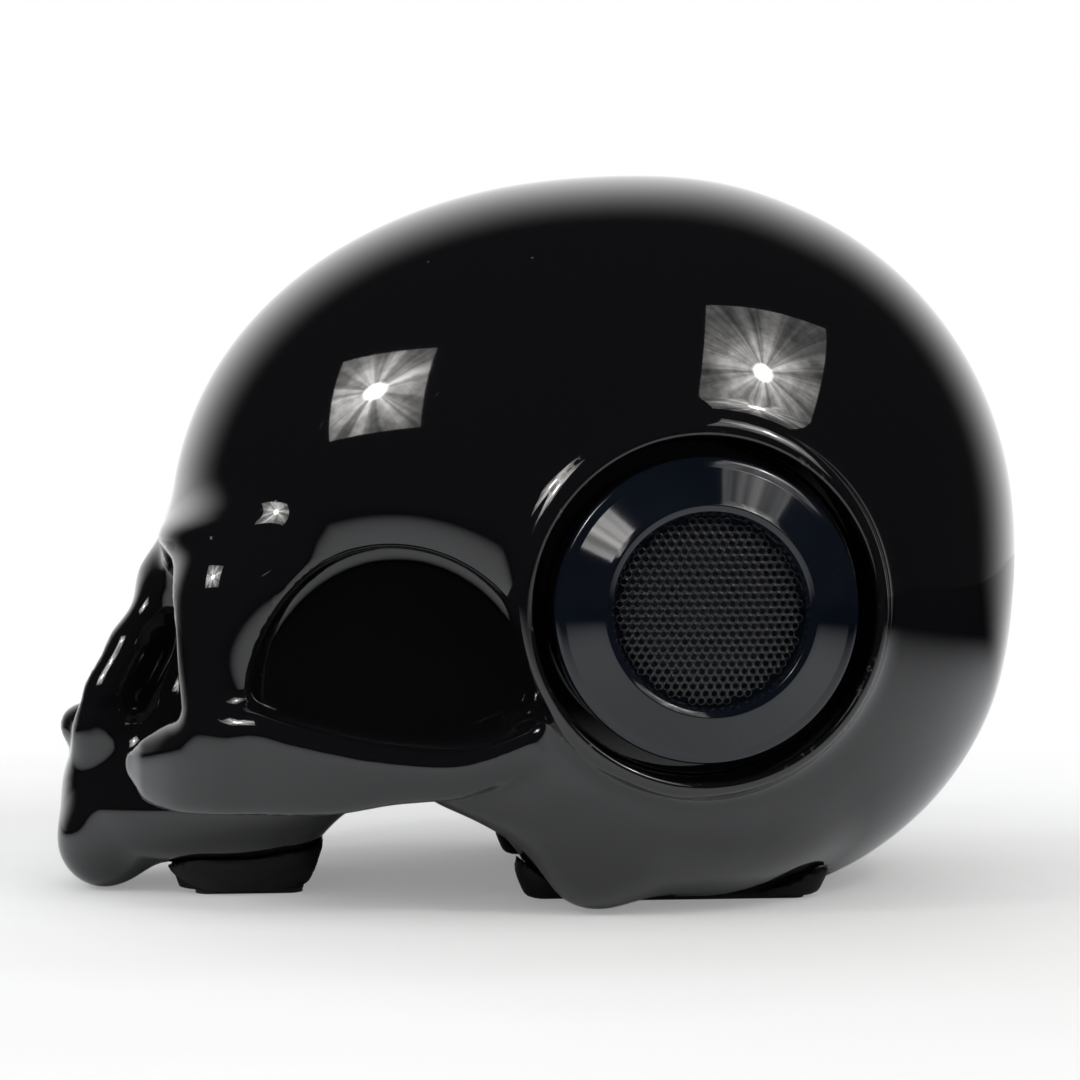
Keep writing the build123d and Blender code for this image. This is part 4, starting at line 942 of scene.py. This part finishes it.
MATERIALS = {slot: make(slot, *values) for slot, (make, *values) in FINISHES.items()}
for part in frame["record"]["subparts"]:
    node = frame["nodes"][part["node"]]
    for index in range(len(node.material_slots)):
        node.material_slots[index].material = MATERIALS[part["material_slot"]]
for piece in (left, right):
    paint(piece, MATERIALS["skull_lacquer"])
paint(feet_piece, MATERIALS["moulding"])
for piece in grilles:
    paint(piece, MATERIALS["grille_steel"])
for piece in bezels:
    paint(piece, MATERIALS["bezel_gloss"])
for piece in flexible:
    paint(piece, MATERIALS["spider_cloth" if piece.name.endswith("spider_cloth") else "surround_rubber"])


# ---------------------------------------------------------------- stage, lights and camera
WHITE = (0.93, 0.94, 0.95)


def flat_sheet(name, half_width, half_height, lean=0.0):
    """A four-sided stage sheet. lean pushes its top edge along X."""
    mesh = bpy.data.meshes.new(name)
    w, h = half_width, half_height
    corners = [(-w - lean, -h, 0), (w - lean, -h, 0), (w + lean, h, 0), (-w + lean, h, 0)]
    mesh.from_pydata(corners, [], [(0, 1, 2, 3)])
    sheet = bpy.data.objects.new(name, mesh)
    bpy.context.scene.collection.objects.link(sheet)
    return sheet


def floor_material():
    """Pale paper with soft folds, whose shading is painted into its colour as grey patches. It runs out into
    white for the camera, into the dark for reflections.
    """
    g = Graph("floor")
    path = g.add("ShaderNodeLightPath")
    span = g.add("ShaderNodeVectorMath", {0: g.place}, operation="LENGTH").outputs["Value"]
    # painted shade: this fold noise bumps the paper and also darkens its colour to grey where the folds would
    # be in shade
    fold_relief_and_shade = g.noise(4.5, 3.0, 0.45, where=g.stretch(1.0, 0.45, 1.0))
    shade = g.spread(fold_relief_and_shade, 0.35, 0.65, 0.0, 1.0)
    seen = g.mix(shade, (0.80, 0.80, 0.80), WHITE)
    far = g.spread(span, 0.15, 0.72, 0.0, 1.0, smooth=True)
    behind = g.spread(g.calc("DIVIDE", g.axis("X"), span), -0.30, -0.86, 0.0, 1.0, smooth=True)
    mirrored = g.mix(far, (0.80, 0.82, 0.84), g.mix(behind, (0.0, 0.0, 0.0), (1.0, 1.0, 1.0)))
    g.set(Base_Color=g.mix(path.outputs["Is Glossy Ray"], seen, mirrored))
    g.set(Roughness=0.9, Specular_IOR_Level=0.0)
    g.set(Normal=g.bump(fold_relief_and_shade, 0.02, 0.5))
    glow = g.add("ShaderNodeEmission", {"Color": (1.0, 1.0, 1.0), "Strength": 1.0})
    fade = g.spread(span, 0.12, 0.46, 0.25, 1.0, smooth=True)
    fade = g.calc("MULTIPLY", fade, path.outputs["Is Camera Ray"])
    blend = g.add("ShaderNodeMixShader", {0: fade, 1: g.shader.outputs[0], 2: glow.outputs[0]})
    g.join(blend.outputs[0], g.out.inputs[0])
    return g.material


floor = flat_sheet("stage_floor", 4.0, 4.0)
paint(floor, floor_material())


def fabric_glow(name, strength, seed):
    """A lit softbox front: a hot middle, folds that run out from it, and edges that fall away."""
    g = Graph(name)
    across, up = g.axis("X"), g.axis("Y")
    reach = g.calc("SQRT", g.calc("ADD", g.calc("MULTIPLY", across, across), g.calc("MULTIPLY", up, up)))
    angle = g.calc("ARCTAN2", up, across)
    ray = g.add("ShaderNodeCombineXYZ", {0: g.calc("COSINE", angle), 1: g.calc("SINE", angle), 2: seed})
    folds = g.spread(g.noise(3.0, 4.0, 0.65, where=ray.outputs[0]), 0.36, 0.64, 0.30, 1.0, smooth=True)
    crumple = g.spread(g.noise(7.0, 4.0, 0.65), 0.3, 0.7, 0.35, 1.25)
    fall = g.spread(reach, 0.0, 0.42, 1.0, 0.16, smooth=True)
    middle = g.spread(reach, 0.02, 0.075, 3.2, 0.0, smooth=True)
    level = g.calc("ADD", g.calc("MULTIPLY", g.calc("MULTIPLY", folds, crumple), fall), middle)
    level = g.calc("MULTIPLY", level, strength)
    glow = g.add("ShaderNodeEmission", {"Color": (1.0, 0.985, 0.96), "Strength": level})
    g.join(glow.outputs[0], g.out.inputs[0])
    return g.material


def softbox(name, place, half_width, half_height, lean, roll, strength, seed):
    """A square fabric-fronted lamp that faces the object."""
    sheet = flat_sheet(name, half_width, half_height, lean)
    paint(sheet, fabric_glow(name, strength, seed))
    facing = (Vector((0, 0, 0.1)) - Vector(place)).to_track_quat("Z", "Y")
    sheet.rotation_euler = (facing @ Quaternion((0, 0, 1), math.radians(roll))).to_euler()
    sheet.location = place
    sheet.visible_camera = False
    return sheet


softbox("stage_softbox_front", (0.66, -0.98, 0.94), 0.25, 0.30, 0.04, -14, 14.0, 1.0)
softbox("stage_softbox_rear", (0.80, 0.64, 0.98), 0.36, 0.50, -0.14, 20, 12.0, 4.0)


def room():
    """White behind the object for the camera; for reflections, a dark room that is bright only behind it."""
    world = bpy.data.worlds.new("room")
    world.use_nodes = True
    tree = world.node_tree
    tree.nodes.clear()

    def add(kind, **inputs):
        node = tree.nodes.new(kind)
        for key, value in inputs.items():
            socket = node.inputs[int(key[1:])] if key[0] == "i" else node.inputs[key]
            if isinstance(value, bpy.types.NodeSocket):
                tree.links.new(value, socket)
            else:
                socket.default_value = value
        return node

    path = add("ShaderNodeLightPath")
    way = add("ShaderNodeSeparateXYZ", i0=add("ShaderNodeTexCoord").outputs["Generated"])
    back = add("ShaderNodeMapRange", i0=way.outputs["X"], i1=-0.30, i2=-0.86, i3=0.0, i4=1.0)
    back.interpolation_type = "SMOOTHSTEP"
    level = add("ShaderNodeMix", i0=back.outputs[0], i2=0.012, i3=1.0)
    ambient = add("ShaderNodeMix", i0=path.outputs["Is Glossy Ray"], i2=0.85, i3=level.outputs[0])
    shown = add("ShaderNodeMix", i0=path.outputs["Is Camera Ray"], i2=ambient.outputs[0], i3=1.0)
    light = add("ShaderNodeBackground", i0=(1.0, 1.0, 1.0, 1.0), i1=shown.outputs[0])
    add("ShaderNodeOutputWorld", i0=light.outputs[0])
    return world


bpy.context.scene.world = room()

AZIMUTH, ELEVATION, DISTANCE = math.radians(85), math.radians(1), 0.70
AIM = Vector((0.0, 0.001, 0.0985))
camera = bpy.data.cameras.new("camera")
camera.lens = 79.8
camera.sensor_width = 36
camera_object = bpy.data.objects.new("camera", camera)
bpy.context.scene.collection.objects.link(camera_object)
reach = math.cos(ELEVATION)
back = Vector((math.sin(AZIMUTH) * reach, -math.cos(AZIMUTH) * reach, math.sin(ELEVATION)))
camera_object.location = AIM + back * DISTANCE
camera_object.rotation_euler = (-back).to_track_quat("-Z", "Y").to_euler()
bpy.context.scene.camera = camera_object
bpy.context.scene.view_settings.view_transform = "Standard"
